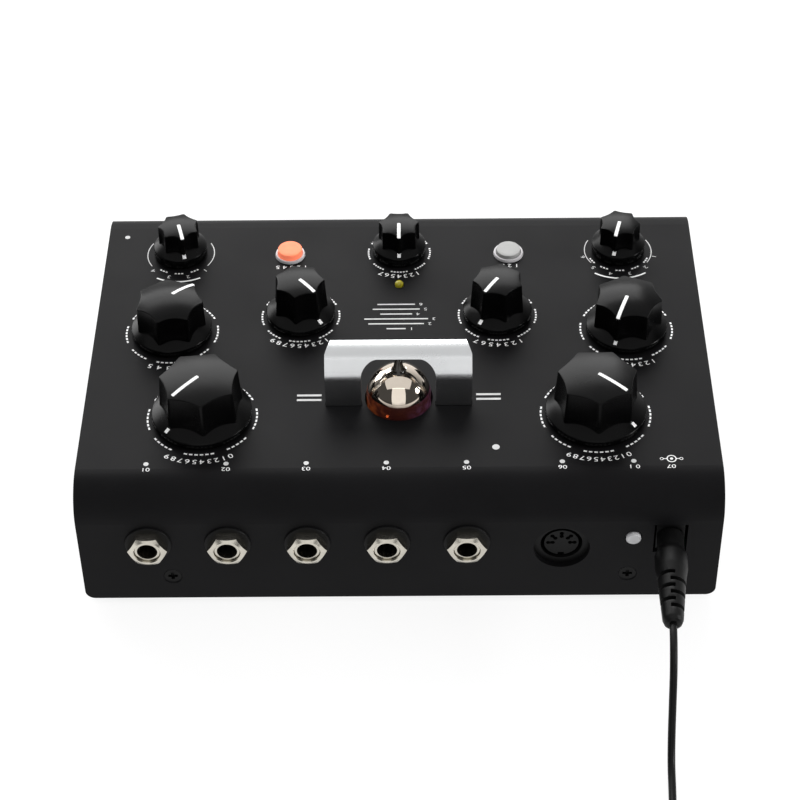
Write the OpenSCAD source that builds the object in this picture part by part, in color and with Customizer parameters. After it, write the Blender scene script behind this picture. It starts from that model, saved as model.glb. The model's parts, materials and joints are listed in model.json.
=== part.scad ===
// Desktop delay unit with nine knobs, a guarded valve and a rear row of sockets.
// Millimetres, +Z up, front towards -Y, rear socket panel towards +Y.
// The origin is on the table, under the middle of the case and its rear sockets.

/* [Case] */
// Width of the case
case_w = 205; // [195:1:230]
// Depth of the case over the bent front and rear
case_d = 145.5; // [138:0.5:165]
// Height of the case from its lower edge to the top panel
case_h = 47; // [44:0.5:60]
// Outer radius of the long front and rear bends of the cover
bend_r = 12.5; // [6:0.5:14]
// Thickness of the sheet steel
sheet_t = 2; // [1.5:0.1:2.4]
// Outer radius of the pan's lower bends and of the cover's lower corners
corner_r = 3.2; // [3.2:0.1:6]
// Gap between the pan and the cover
pan_gap = 0.3; // [0.2:0.05:0.5]
// Height of the rubber feet
foot_h = 3; // [2:0.5:6]
// Diameter of the rubber feet
foot_d = 12; // [8:0.5:18]
// Distance of the feet from the edges of the case
foot_inset = 16; // [12:0.5:24]

/* [Cover screws] */
// Distance of the cover screws from the middle of the case
cover_screw_x = 73.4; // [69:0.2:75]
// Height of the cover screws above the lower edge of the case
cover_screw_z = 10.2; // [9:0.2:10.2]
// Head diameter of the cover screws
cover_screw_head_d = 5.6; // [5:0.1:6]
// Depth of the cover screws' heads below the face of the case
cover_screw_drop = 0.3; // [0.1:0.05:0.4]
// Thread diameter of the cover screws
cover_screw_d = 3; // [2.5:0.1:3.4]
// Length of the cover screws
cover_screw_len = 6; // [5:0.2:6.4]

/* [Knob places] */
// Sideways place of the two large knobs
large_x = 63.6; // [61:0.2:66]
// Place of the large knobs along the depth
large_y = 36.5; // [34:0.2:39]
// Sideways place of the outer four knobs
outer_x = 76.4; // [74:0.2:78]
// Place of the two medium knobs along the depth
medium_y = -4.8; // [-6:0.2:-3]
// Sideways place of the two inner knobs
inner_x = 33.3; // [31:0.2:35]
// Place of the two inner knobs along the depth
inner_y = -12.6; // [-15:0.2:-10]
// Place of the front row of small knobs along the depth
front_y = -46; // [-47:0.2:-44]

/* [Knob sizes] */
// Skirt diameter of the large knobs
large_skirt_d = 32.4; // [30:0.1:34]
// Body diameter of the large knobs over the ribs, at the skirt
large_body_d = 27.7; // [25:0.1:28.4]
// Body diameter of the large knobs over the ribs, at the top
large_top_d = 26; // [24:0.1:27]
// Height of the large knobs above the panel
large_knob_h = 17.9; // [16:0.1:20]
// Drop of the large knobs' domed top from its middle to its ribs
large_crown = 1.6; // [0.6:0.1:2.4]
// Skirt diameter of the medium knobs
medium_skirt_d = 27; // [25:0.1:29]
// Body diameter of the medium knobs over the ribs, at the skirt
medium_body_d = 23.4; // [21:0.1:24]
// Body diameter of the medium knobs over the ribs, at the top
medium_top_d = 22.9; // [20:0.1:23.4]
// Height of the medium knobs above the panel
medium_knob_h = 16; // [14:0.1:19]
// Drop of the medium knobs' domed top from its middle to its ribs
medium_crown = 2.2; // [0.6:0.1:2.6]
// Skirt diameter of the inner knobs
inner_skirt_d = 23.2; // [21:0.1:25]
// Body diameter of the inner knobs over the ribs, at the skirt
inner_body_d = 18.8; // [17:0.1:20]
// Body diameter of the inner knobs over the ribs, at the top
inner_top_d = 17.4; // [16:0.1:18.6]
// Height of the inner knobs above the panel
inner_knob_h = 16.5; // [14:0.1:18]
// Drop of the inner knobs' domed top from its middle to its ribs
inner_crown = 1.1; // [0.5:0.1:2]
// Skirt diameter of the small knobs
small_skirt_d = 18.4; // [18:0.1:20]
// Body diameter of the small knobs over the ribs, at the skirt
small_body_d = 14.9; // [14.4:0.1:16]
// Body diameter of the small knobs over the ribs, at the top
small_top_d = 14.6; // [13.6:0.1:15]
// Height of the small knobs above the panel
small_knob_h = 13.3; // [12:0.1:16]
// Drop of the small knobs' domed top from its middle to its ribs
small_crown = 1; // [0.5:0.1:1.6]
// Ribs around a knob
knob_ribs = 7; // [5:1:9]
// Height of the upright rim of a knob skirt
skirt_rim_h = 2.6; // [2:0.1:3.2]
// Height of the upright rim of the small knobs' skirts
small_rim_h = 3.8; // [3.6:0.1:4.2]
// Rise of a skirt's sloping top for each millimetre inwards
skirt_slope = 0.55; // [0.45:0.05:0.7]
// Gap between a knob and the panel
knob_gap = 0.5; // [0.3:0.1:1]
// Width of the pointer groove on a knob
pointer_w = 1.2; // [0.8:0.1:1.6]

/* [Potentiometers] */
// Diameter of a potentiometer body
pot_d = 16; // [14:0.5:17]
// Height of a potentiometer body below the panel
pot_h = 8; // [7.5:0.5:10]
// Side of a rotary switch body
switch_side = 18; // [16:0.5:20]
// Diameter of the threaded bushings
bushing_d = 7; // [6.8:0.1:8]
// Length of the bushings above the panel
bushing_top = 4.2; // [3.6:0.1:4.4]
// Diameter of the control shafts
shaft_d = 6; // [5:0.1:6]
// Running gap between a shaft and its bushing
shaft_gap = 0.05; // [0.03:0.01:0.08]
// Width of the bushing nuts across flats
bushing_nut_af = 10; // [9.5:0.1:11]
// Height of the bushing nuts
bushing_nut_h = 2.2; // [1.6:0.1:2.6]

/* [Buttons and lamp] */
// Sideways place of the two panel buttons
button_x = 38.1; // [36:0.1:40]
// Place of the panel buttons along the depth
button_y = -45; // [-47:0.2:-43]
// Diameter of a button cap
button_d = 8.4; // [7.6:0.1:9]
// Outer diameter of a button ring
button_ring_d = 10.4; // [10:0.1:12]
// Height of a button ring above the panel
button_ring_h = 1; // [0.6:0.1:1.4]
// Height of the bypass button above the panel
bypass_h = 3; // [2.6:0.1:4]
// Height of the tap button above the panel
tap_h = 2.2; // [2:0.1:3]
// Travel of a panel button
button_travel = 1.2; // [0.8:0.1:1.2]
// Diameter of the level lamp
lamp_d = 3; // [2.8:0.1:5]
// Place of the level lamp along the depth
lamp_y = -28.5; // [-30:0.5:-27]

/* [Valve and guard] */
// Place of the valve axis along the depth
valve_y = 28; // [27:0.2:29]
// Diameter of the valve glass
valve_d = 21; // [20:0.1:22]
// Height of the dome's top above the panel, without its tip
valve_top = 12.2; // [11:0.1:13]
// Length of the glass tip
valve_tip = 4.9; // [3:0.1:5]
// Wall of the valve glass
valve_wall = 0.9; // [0.7:0.1:1.2]
// Length of the glass below the panel's top face
valve_below = 29; // [28:0.2:30]
// Width of the guard
guard_w = 47.5; // [44:0.5:56]
// Height of the guard above the panel
guard_h = 20; // [19.5:0.1:24]
// Depth of the guard's roof from its rear face
guard_depth = 10.2; // [9.5:0.1:12]
// Thickness of the guard
guard_t = 2; // [1.5:0.1:2.2]
// Outer radius of the guard's bend
guard_r = 9; // [7:0.1:9.4]
// Distance from the valve axis to the guard's rear face
guard_offset = 4; // [3:0.1:5]
// Width of the arch in the guard
arch_w = 24.2; // [23:0.2:27]
// Height of the arch above the panel
arch_h = 17.6; // [17.4:0.1:18]
// Corner radius of the arch
arch_r = 5.4; // [3:0.1:8]
// Sideways cut of the roof's front corners
guard_cut_x = 2; // [1:0.1:4]
// Lengthwise cut of the roof's front corners
guard_cut_y = 6; // [3:0.1:8]

/* [Rear sockets] */
// Height of the audio jacks above the lower edge of the case
jack_z = 25.8; // [25:0.2:28]
// Sideways place of the first audio jack
jack_x = 80.1; // [79:0.1:82]
// Distance between two audio jacks
jack_pitch = 25.4; // [24:0.1:26]
// Diameter of an audio jack bore
jack_bore_d = 6.5; // [6.4:0.02:6.6]
// Thread diameter of an audio jack sleeve
jack_thread_d = 9; // [8.6:0.1:9.4]
// Width of a jack nut across flats
jack_nut_af = 11; // [10.6:0.1:12]
// Height of a jack nut
jack_nut_h = 3.7; // [3:0.1:4.5]
// Diameter of a jack washer
jack_washer_d = 15; // [13:0.1:16]
// Thickness of a jack washer
jack_washer_t = 0.8; // [0.5:0.1:1.2]
// Thickness of the rim that closes a jack nut over its sleeve
jack_rim = 0.8; // [0.5:0.1:1.2]
// Diameter of the hole in that rim
jack_rim_d = 8.4; // [7.2:0.1:8.6]
// Sideways place of the five-pin socket
din_x = -51.8; // [-53:0.2:-50]
// Height of the five-pin socket above the lower edge of the case
din_z = 22.6; // [22:0.2:25]
// Diameter of the panel hole for the five-pin socket
din_hole_d = 18; // [16:0.2:19]
// Diameter of the five-pin socket's ring groove
din_ring_d = 13.4; // [12.6:0.1:14]
// Sideways place of the power button
power_x = -74.4; // [-75:0.1:-74]
// Height of the power button above the lower edge of the case
power_z = 27.1; // [26:0.1:28]
// Diameter of the power button
power_d = 4.8; // [4:0.1:5.2]
// Reach of the power button past the rear wall
power_out = 0.9; // [0.6:0.1:2]
// Travel of the power button
power_travel = 1.6; // [1:0.1:2]
// Sideways place of the supply socket
dc_x = -86.2; // [-87:0.1:-85.6]
// Height of the supply socket above the lower edge of the case
dc_z = 26.6; // [25:0.2:27]
// Width of the opening for the supply socket
dc_open_w = 10.6; // [10:0.1:11]
// Height of the opening for the supply socket
dc_open_h = 12.4; // [11.6:0.1:13]

/* [Boards] */
// Thickness of the circuit boards
board_t = 1.6; // [1.2:0.1:2]
// Height of the main board's top face above the lower edge of the case
main_board_z = 13; // [12.6:0.2:14]
// Gap between the circuit boards and the outside of the case's ends
board_end = 4.5; // [4:0.1:6]
// Width of the board pillars across flats
pillar_af = 5.5; // [5:0.1:6]

/* [Supply lead] */
// Diameter of the lead
cord_d = 2.4; // [2.2:0.1:2.4]
// Reach of the plug past the rear wall
plug_len = 36; // [34:0.5:42]
// Largest diameter of the plug
plug_d = 10.4; // [9.6:0.1:10.5]
// Lean of the plug in its socket, in degrees
plug_lean = 3.5; // [0:0.5:4]
// Loops in each layer of the coil
coil_loops = 4; // [2:1:4]
// Layers of the coil
coil_layers = 4; // [2:2:4]
// Diameter of the coil at the middle of its turns
coil_mid_d = 27; // [26:0.5:28]
// Distance between neighbouring turns
coil_pitch = 2.95; // [2.9:0.05:3]
// Thickness of the tie around the coil
tie_t = 0.8; // [0.6:0.1:1]
// Width of the tie around the coil
tie_w = 5; // [3:0.5:6]
// Length of the plug-in adapter
adapter_len = 56; // [50:1:60]
// Width of the plug-in adapter
adapter_w = 38; // [34:1:40]
// Height of the plug-in adapter as it lies
adapter_h = 25; // [22:0.5:26]

/* [Hidden] */
$fn = 48;
EPS = 0.01;

// Colours, as the object shows them
coat_black = [0.13, 0.13, 0.14];
knob_black = [0.06, 0.06, 0.065];
nickel = [0.78, 0.76, 0.72];
satin_alu = [0.8, 0.81, 0.82];
board_green = [0.06, 0.22, 0.14];
cord_black = [0.05, 0.05, 0.055];

// Levels and planes
top_z = foot_h + case_h;
under_z = top_z - sheet_t;
rear_y = case_d / 2;
inner_rear_y = rear_y - sheet_t;
pan_floor_z = foot_h + sheet_t;
control_z = under_z - pot_h;
main_z = foot_h + main_board_z;

// The layout keeps its proportions when the case changes size
spread_x = case_w / 205;
spread_y = case_d / 145.5;
valve_at_y = valve_y * spread_y;
button_at_x = button_x * spread_x;
button_at_y = button_y * spread_y;
lamp_at_y = lamp_y * spread_y;
din_at_x = din_x * spread_x;
power_at_x = power_x * spread_x;
dc_at_x = dc_x * spread_x;
cover_screw_at_x = cover_screw_x * spread_x;

// Fits that several pieces share
thread_gap = 0.05;
hole_gap = 0.35;
seat_gap = 0.05;
slide_gap = 0.15;

// Knobs: middle of each on the panel, pointer angle from +X as photographed
function on_panel(x, y) = [x * spread_x, y * spread_y];
cutoff_at = on_panel(large_x, large_y);
time_at = on_panel(-large_x, large_y);
drive_at = on_panel(outer_x, medium_y);
feedback_at = on_panel(-outer_x, medium_y);
resonance_at = on_panel(inner_x, inner_y);
mix_at = on_panel(-inner_x, inner_y);
filter_at = on_panel(outer_x, front_y);
level_at = on_panel(0, front_y);
delay_at = on_panel(-outer_x, front_y);
pot_places = [cutoff_at, time_at, drive_at, feedback_at, resonance_at, mix_at, level_at];
switch_places = [filter_at, delay_at];
all_places = concat(pot_places, switch_places);
cutoff_angle = 45;
time_angle = 142;
drive_angle = -132;
feedback_angle = 68;
resonance_angle = 133;
mix_angle = 54;
filter_angle = 105;
level_angle = 90;
delay_angle = 75;

// Rear sockets
jack_count = 5;
jack_places = [for (i = [0 : jack_count - 1]) [(jack_x - i * jack_pitch) * spread_x, foot_h + jack_z]];
screw_places = [for (sx = [-1, 1]) [sx * cover_screw_at_x, foot_h + cover_screw_z]];

// Flat outline of the case seen from the side, with its two bent shoulders
module case_outline(inset, low_z, shoulder_r) {
    half_d = case_d / 2 - inset;
    high_z = top_z - inset;
    union() {
        translate([-half_d, low_z])
            square([2 * half_d, high_z - shoulder_r - low_z]);
        translate([-half_d + shoulder_r, low_z])
            square([2 * (half_d - shoulder_r), high_z - low_z]);
        for (sy = [-1, 1])
            translate([sy * (half_d - shoulder_r), high_z - shoulder_r])
                circle(r = shoulder_r);
    }
}

// Pieces are drawn about the middle of the case, then moved so that the origin
// lies under the middle of the whole, with the sockets that reach past its rear
socket_reach = jack_washer_t + jack_nut_h;

module in_place() {
    translate([0, -socket_reach / 2, 0])
        children();
}

// Turns a side view drawn in Y and Z into a solid along X
module along_x(length) {
    translate([-length / 2, 0, 0])
        rotate([90, 0, 90])
            linear_extrude(length)
                children();
}

// Stands a round cut or piece along +Y, with its foot at y = 0
module along_y(length, r1, r2) {
    rotate([-90, 0, 0])
        cylinder(h = length, r1 = r1, r2 = r2);
}

module hex_prism(across_flats, height) {
    cylinder(h = height, d = across_flats / cos(30), $fn = 6);
}

// Countersink and clearance hole for a cover screw, from the outer face inwards along -Y
module screw_cut() {
    sink = (cover_screw_head_d - cover_screw_d) / 2 + cover_screw_drop;
    translate([0, -sink, 0])
        along_y(sink + EPS, cover_screw_d / 2 + slide_gap, cover_screw_d / 2 + slide_gap + sink);
    translate([0, -sheet_t - EPS, 0])
        along_y(sheet_t, cover_screw_d / 2 + slide_gap, cover_screw_d / 2 + slide_gap);
}

guard_rear_y = valve_at_y + guard_offset;
guard_leg_w = (guard_w - arch_w) / 2;
guard_leg_x = (guard_w + arch_w) / 4;
guard_stud_x = guard_leg_x;
guard_foot_len = 12;
guard_stud_y = guard_rear_y + guard_foot_len / 2;
guard_stud_r = 1.45;
guard_nut_h = 2.4;
guard_nut_af = 5.5;

// Case

module cover_shell() {
    inner_r = bend_r - sheet_t;
    difference() {
        along_x(case_w)
            difference() {
                case_outline(0, foot_h, bend_r);
                case_outline(sheet_t, foot_h - 1, inner_r);
            }
        // Rounded lower corners of the front and rear walls
        for (sx = [-1, 1])
            translate([sx * case_w / 2, 0, foot_h])
                difference() {
                    cube([2 * corner_r, case_d + 1, 2 * corner_r], center = true);
                    translate([-sx * corner_r, -case_d / 2 - 1, corner_r])
                        along_y(case_d + 2, corner_r, corner_r);
                }
    }
}

module panel_cuts() {
    cut_h = sheet_t + 2;
    cut_z = under_z - 1;
    for (p = all_places)
        translate([p[0], p[1], cut_z])
            cylinder(h = cut_h, d = bushing_d + hole_gap);
    for (sx = [-1, 1])
        translate([sx * button_at_x, button_at_y, cut_z])
            cylinder(h = cut_h, r = button_tube_r + slide_gap);
    translate([0, lamp_at_y, cut_z])
        cylinder(h = cut_h, d = lamp_d + hole_gap);
    translate([0, valve_at_y, cut_z])
        cylinder(h = cut_h, d = valve_d + 2 * valve_hole_gap);
    for (sx = [-1, 1])
        translate([sx * guard_leg_x, guard_rear_y - guard_t / 2, top_z - sheet_t / 2])
            cube([guard_leg_w + hole_gap, guard_t + hole_gap, sheet_t + 2], center = true);
}

valve_hole_gap = 0.6;

module rear_cuts() {
    for (p = jack_places)
        translate([p[0], inner_rear_y - 1, p[1]])
            along_y(sheet_t + 2, (jack_thread_d + hole_gap) / 2, (jack_thread_d + hole_gap) / 2);
    translate([din_at_x, inner_rear_y - 1, foot_h + din_z])
        along_y(sheet_t + 2, din_hole_d / 2, din_hole_d / 2);
    translate([power_at_x, inner_rear_y - 1, foot_h + power_z])
        along_y(sheet_t + 2, power_d / 2 + hole_gap, power_d / 2 + hole_gap);
    translate([dc_at_x, rear_y - sheet_t / 2, foot_h + dc_z])
        cube([dc_open_w, sheet_t + 2, dc_open_h], center = true);
}

module top_cover() {
    color(coat_black) in_place() {
        difference() {
            cover_shell();
            panel_cuts();
            rear_cuts();
            for (p = screw_places) {
                translate([p[0], rear_y, p[1]])
                    screw_cut();
                translate([p[0], -rear_y, p[1]])
                    rotate([0, 0, 180])
                        screw_cut();
            }
        }
        // Studs pressed into the panel for the guard's foot
        for (sx = [-1, 1])
            translate([sx * guard_stud_x, guard_stud_y, under_z - guard_t - guard_nut_h - 0.8])
                cylinder(h = guard_t + guard_nut_h + 0.8 + EPS, r = guard_stud_r);
    }
}

tab_w = 13;
tab_h = main_board_z - 0.4;
pan_half_w = case_w / 2 - pan_gap;
pan_inset = sheet_t + pan_gap;

// Floor and side walls of the pan, seen from the front
module pan_section() {
    inner_r = corner_r - sheet_t;
    difference() {
        union() {
            translate([-pan_half_w, foot_h + corner_r])
                square([2 * pan_half_w, case_h]);
            translate([-pan_half_w + corner_r, foot_h])
                square([2 * (pan_half_w - corner_r), case_h]);
            for (sx = [-1, 1])
                translate([sx * (pan_half_w - corner_r), foot_h + corner_r])
                    circle(r = corner_r);
        }
        translate([-pan_half_w + sheet_t, foot_h + sheet_t + inner_r])
            square([2 * (pan_half_w - sheet_t), case_h]);
        translate([-pan_half_w + corner_r, foot_h + sheet_t])
            square([2 * (pan_half_w - corner_r), case_h]);
        for (sx = [-1, 1])
            translate([sx * (pan_half_w - corner_r), foot_h + corner_r])
                circle(r = inner_r);
    }
}

module base_pan() {
    color(coat_black) in_place()
        union() {
            intersection() {
                rotate([90, 0, 0])
                    linear_extrude(case_d, center = true)
                        pan_section();
                along_x(case_w)
                    case_outline(pan_inset, foot_h - 1, bend_r - pan_inset);
            }
            // Four bent-up tabs that take the cover screws
            for (p = screw_places, sy = [-1, 1])
                difference() {
                    translate([p[0] - tab_w / 2, sy > 0 ? rear_y - pan_inset - sheet_t : -rear_y + pan_inset,
                        foot_h + sheet_t / 2])
                        cube([tab_w, sheet_t, tab_h - sheet_t / 2]);
                    translate([p[0], sy * rear_y - case_d / 4, p[1]])
                        along_y(case_d / 2, cover_screw_d / 2 + thread_gap, cover_screw_d / 2 + thread_gap);
                }
        }
}

module cover_screw() {
    sink = (cover_screw_head_d - cover_screw_d) / 2;
    difference() {
        union() {
            translate([0, -sink, 0])
                along_y(sink, cover_screw_d / 2, cover_screw_head_d / 2);
            translate([0, -cover_screw_len, 0])
                along_y(cover_screw_len - sink + EPS, cover_screw_d / 2, cover_screw_d / 2);
        }
        // Cross recess of the head
        for (turn = [0, 90])
            rotate([0, turn, 0])
                cube([screw_cross_len, 2 * screw_recess, screw_cross_w], center = true);
    }
}

screw_recess = 1.1;
screw_cross_len = 3.1;
screw_cross_w = 1.1;

module cover_screws() {
    color([0.1, 0.1, 0.1]) in_place()
        for (p = screw_places) {
            translate([p[0], rear_y - cover_screw_drop, p[1]])
                cover_screw();
            translate([p[0], -rear_y + cover_screw_drop, p[1]])
                rotate([0, 0, 180])
                    cover_screw();
        }
}

module rubber_feet() {
    color([0.09, 0.09, 0.09]) in_place()
        for (sx = [-1, 1], sy = [-1, 1])
            translate([sx * (case_w / 2 - foot_inset), sy * (case_d / 2 - foot_inset), 0])
                cylinder(h = foot_h, d1 = foot_d - 1, d2 = foot_d);
}

// Valve and its guard

module guard_side_view() {
    roof_z = top_z + guard_h;
    bend_y = guard_rear_y - guard_r;
    bend_z = roof_z - guard_r;
    roof_front = guard_rear_y - guard_depth;
    foot_low = under_z - guard_t;
    edge_cut = 0.5;
    // Leg through the panel slot
    translate([guard_rear_y - guard_t, foot_low])
        square([guard_t, bend_z - foot_low]);
    // Foot under the panel
    translate([guard_rear_y - guard_t, foot_low])
        square([guard_foot_len, guard_t]);
    // Bend
    intersection() {
        translate([bend_y, bend_z])
            difference() {
                circle(r = guard_r, $fn = 96);
                circle(r = guard_r - guard_t, $fn = 96);
            }
        translate([bend_y, bend_z])
            square([guard_r, guard_r]);
    }
    // Roof, with its front edge broken
    polygon([
        [bend_y, roof_z], [roof_front + edge_cut, roof_z], [roof_front, roof_z - edge_cut],
        [roof_front, roof_z - guard_t + edge_cut], [roof_front + edge_cut, roof_z - guard_t],
        [bend_y, roof_z - guard_t]
    ]);
}

module arch_outline() {
    half_w = arch_w / 2;
    low = under_z - guard_t - 1;
    high = top_z + arch_h;
    translate([-half_w, low])
        square([arch_w, high - arch_r - low]);
    translate([-half_w + arch_r, low])
        square([arch_w - 2 * arch_r, high - low]);
    for (sx = [-1, 1])
        translate([sx * (half_w - arch_r), high - arch_r])
            circle(r = arch_r);
}

module tube_guard() {
    roof_front = guard_rear_y - guard_depth;
    color(satin_alu) in_place()
        difference() {
            along_x(guard_w)
                guard_side_view();
            translate([0, guard_rear_y + guard_foot_len, 0])
                rotate([90, 0, 0])
                    linear_extrude(guard_foot_len + guard_depth + 1)
                        arch_outline();
            // Slanted front corners of the roof
            for (sx = [-1, 1])
                translate([sx * guard_w / 2, roof_front, top_z])
                    linear_extrude(guard_h + 1)
                        polygon([
                            [sx, -1], [-sx * guard_cut_x, -1], [-sx * guard_cut_x, 0],
                            [0, guard_cut_y], [sx, guard_cut_y]
                        ]);
            for (sx = [-1, 1])
                translate([sx * guard_stud_x, guard_stud_y, under_z - guard_t - 1])
                    cylinder(h = guard_t + 2, r = guard_stud_r + slide_gap);
        }
}

module guard_nuts() {
    color(nickel) in_place()
        for (sx = [-1, 1])
            translate([sx * guard_stud_x, guard_stud_y, under_z - guard_t - guard_nut_h])
                difference() {
                    hex_prism(guard_nut_af, guard_nut_h);
                    translate([0, 0, -1])
                        cylinder(h = guard_nut_h + 2, r = guard_stud_r + thread_gap);
                }
}

glass_low_z = top_z - valve_below;
glass_r = valve_d / 2;
dome_z = top_z + valve_top - glass_r;
tip_r1 = 1.9;
tip_r2 = 1.1;
tube_base_t = 2.5;

module tube_glass() {
    color([0.75, 0.7, 0.62]) in_place()
        translate([0, valve_at_y, 0])
            difference() {
                union() {
                    translate([0, 0, glass_low_z])
                        cylinder(h = dome_z - glass_low_z, r = glass_r);
                    translate([0, 0, dome_z])
                        sphere(r = glass_r, $fn = 64);
                    translate([0, 0, dome_z + glass_r - 0.6])
                        cylinder(h = valve_tip + 0.6 - tip_r2, r1 = tip_r1, r2 = tip_r2);
                    translate([0, 0, dome_z + glass_r + valve_tip - tip_r2])
                        sphere(r = tip_r2);
                }
                translate([0, 0, glass_low_z - 1])
                    cylinder(h = dome_z - glass_low_z + 1, r = glass_r - valve_wall);
                translate([0, 0, dome_z])
                    sphere(r = glass_r - valve_wall, $fn = 64);
            }
}

pin_count = 9;
pin_circle_r = 5.95;
pin_r = 0.5;
pin_len = 7;

module pin_ring() {
    // Ten places on the circle, one of them left empty
    for (i = [0 : pin_count - 1])
        translate([pin_circle_r * cos(36 * i), pin_circle_r * sin(36 * i), 0])
            children();
}

module tube_base() {
    color([0.7, 0.75, 0.75]) in_place()
        translate([0, valve_at_y, glass_low_z])
            difference() {
                cylinder(h = tube_base_t, r = glass_r - valve_wall - seat_gap);
                pin_ring()
                    translate([0, 0, -1])
                        cylinder(h = tube_base_t + 2, r = pin_r + thread_gap, $fn = 24);
            }
}

module tube_pins() {
    color(nickel) in_place()
        translate([0, valve_at_y, glass_low_z - pin_len])
            pin_ring()
                cylinder(h = pin_len + tube_base_t, r = pin_r, $fn = 24);
}

electrode_foot = 3;
electrode_top = 26;
mica_r = 8.6;
mica_t = 0.4;

module tube_electrodes() {
    plate_r = 3.2;
    plate_x = 4;
    rod_r = 0.5;
    low = glass_low_z + tube_base_t;
    color([0.3, 0.29, 0.28]) in_place()
        translate([0, valve_at_y, low]) {
            for (z = [electrode_foot, electrode_top])
                translate([0, 0, z])
                    cylinder(h = mica_t, r = mica_r);
            for (sx = [-1, 1])
                translate([sx * plate_x, 0, electrode_foot])
                    cylinder(h = electrode_top - electrode_foot + EPS, r = plate_r);
            for (sy = [-1, 1])
                translate([0, sy * (mica_r - 2), 0])
                    cylinder(h = electrode_top + EPS, r = rod_r);
        }
}

socket_r = 11.5;
socket_flange_r = 13;
socket_flange_t = 1.6;
socket_low = main_z - board_t - 2;

module tube_socket() {
    color([0.85, 0.83, 0.76]) in_place()
        translate([0, valve_at_y, 0])
            difference() {
                union() {
                    translate([0, 0, socket_low])
                        cylinder(h = glass_low_z - seat_gap - socket_low, r = socket_r);
                    translate([0, 0, main_z])
                        cylinder(h = socket_flange_t, r = socket_flange_r);
                }
                translate([0, 0, socket_low - 1])
                    pin_ring()
                        cylinder(h = glass_low_z - socket_low + 2, r = pin_r + thread_gap, $fn = 24);
            }
}

// Potentiometers, rotary switches and their nuts

shaft_depth = 5;
bushing_r = bushing_d / 2;

// Threaded bushing with its shaft bore, from a body under the panel
module control_body() {
    difference() {
        union() {
            translate([0, 0, control_z])
                children();
            translate([0, 0, under_z - EPS])
                cylinder(h = sheet_t + bushing_top + EPS, r = bushing_r);
        }
        translate([0, 0, under_z - shaft_depth - shaft_gap])
            cylinder(h = case_h, r = shaft_d / 2 + shaft_gap);
    }
}

module pot_bodies() {
    terminal_w = 11;
    terminal_out = 3;
    color([0.55, 0.56, 0.55]) in_place()
        for (p = pot_places)
            translate([p[0], p[1], 0])
                control_body()
                    union() {
                        cylinder(h = pot_h, d = pot_d);
                        translate([-terminal_w / 2, -pot_d / 2 - terminal_out, 0])
                            cube([terminal_w, pot_d / 2 + terminal_out, 2]);
                    }
}

module switch_bodies() {
    color([0.16, 0.17, 0.18]) in_place()
        for (p = switch_places)
            translate([p[0], p[1], 0])
                control_body()
                    translate([-switch_side / 2, -switch_side / 2, 0])
                        cube([switch_side, switch_side, pot_h]);
}

module bushing_nuts() {
    color(nickel) in_place()
        for (p = all_places)
            translate([p[0], p[1], top_z])
                difference() {
                    hex_prism(bushing_nut_af, bushing_nut_h);
                    translate([0, 0, -1])
                        cylinder(h = bushing_nut_h + 2, r = bushing_r + thread_gap);
                }
}

// Knobs and shafts

knob_roof = 2.4;
nut_room = 0.8;
nut_recess_r = bushing_nut_af / 2 / cos(30) + nut_room;
nut_recess_h = bushing_top + nut_room;
skirt_edge = 0.4;
rib_land = 1.5;
pointer_depth = 0.3;
mark_w = 1.2;
mark_len = 1.5;

// Form of a knob: skirt, body and top diameters, height, crown, rim height, depth of its hollow flanks,
// start and end of its pointer
large_form = [
    large_skirt_d, large_body_d, large_top_d, large_knob_h, large_crown, skirt_rim_h, 0.55, 0.8, 10.6
];
medium_form = [
    medium_skirt_d, medium_body_d, medium_top_d, medium_knob_h, medium_crown, skirt_rim_h, 0.8, 2.2, 10.8
];
inner_form = [
    inner_skirt_d, inner_body_d, inner_top_d, inner_knob_h, inner_crown, skirt_rim_h, 0.65, 0.8, 7.2
];
small_form = [
    small_skirt_d, small_body_d, small_top_d, small_knob_h, small_crown, small_rim_h, 0.75, 0.8, 6.6
];

// Drafted and domed body: leaning cylinders hollow its flanks and leave ribs between them
module ribbed_body(body_r, top_r, low_z, height, crown, hollow) {
    step = 360 / knob_ribs;
    half_chord = body_r * sin(step / 2 - rib_land);
    hollow_r = (half_chord * half_chord + hollow * hollow) / (2 * hollow);
    hollow_at = body_r * cos(step / 2 - rib_land) - hollow + hollow_r;
    draft = atan((body_r - top_r) / (height - crown - low_z));
    dome_r = (top_r * top_r + crown * crown) / (2 * crown);
    difference() {
        intersection() {
            translate([0, 0, low_z])
                cylinder(
                    h = height - low_z, r1 = body_r, r2 = body_r - (height - low_z) * tan(draft), $fn = 96
                );
            translate([0, 0, height - dome_r])
                sphere(r = dome_r, $fn = 96);
        }
        for (i = [0 : knob_ribs - 1])
            rotate([0, 0, step * (i + 0.5)])
                translate([hollow_at, 0, low_z])
                    rotate([0, -draft, 0])
                        translate([0, 0, -height])
                            cylinder(h = 3 * height, r = hollow_r, $fn = 96);
    }
}

// Bar with round ends for the pointer, cut to an even depth below the dome
module pointer_cut(start, end, height, dome_r) {
    difference() {
        union() {
            translate([start, -pointer_w / 2, height / 2])
                cube([end - start, pointer_w, height]);
            for (x = [start, end])
                translate([x, 0, height / 2])
                    cylinder(h = height, d = pointer_w);
        }
        translate([0, 0, height - dome_r])
            sphere(r = dome_r - pointer_depth, $fn = 96);
    }
}

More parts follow.
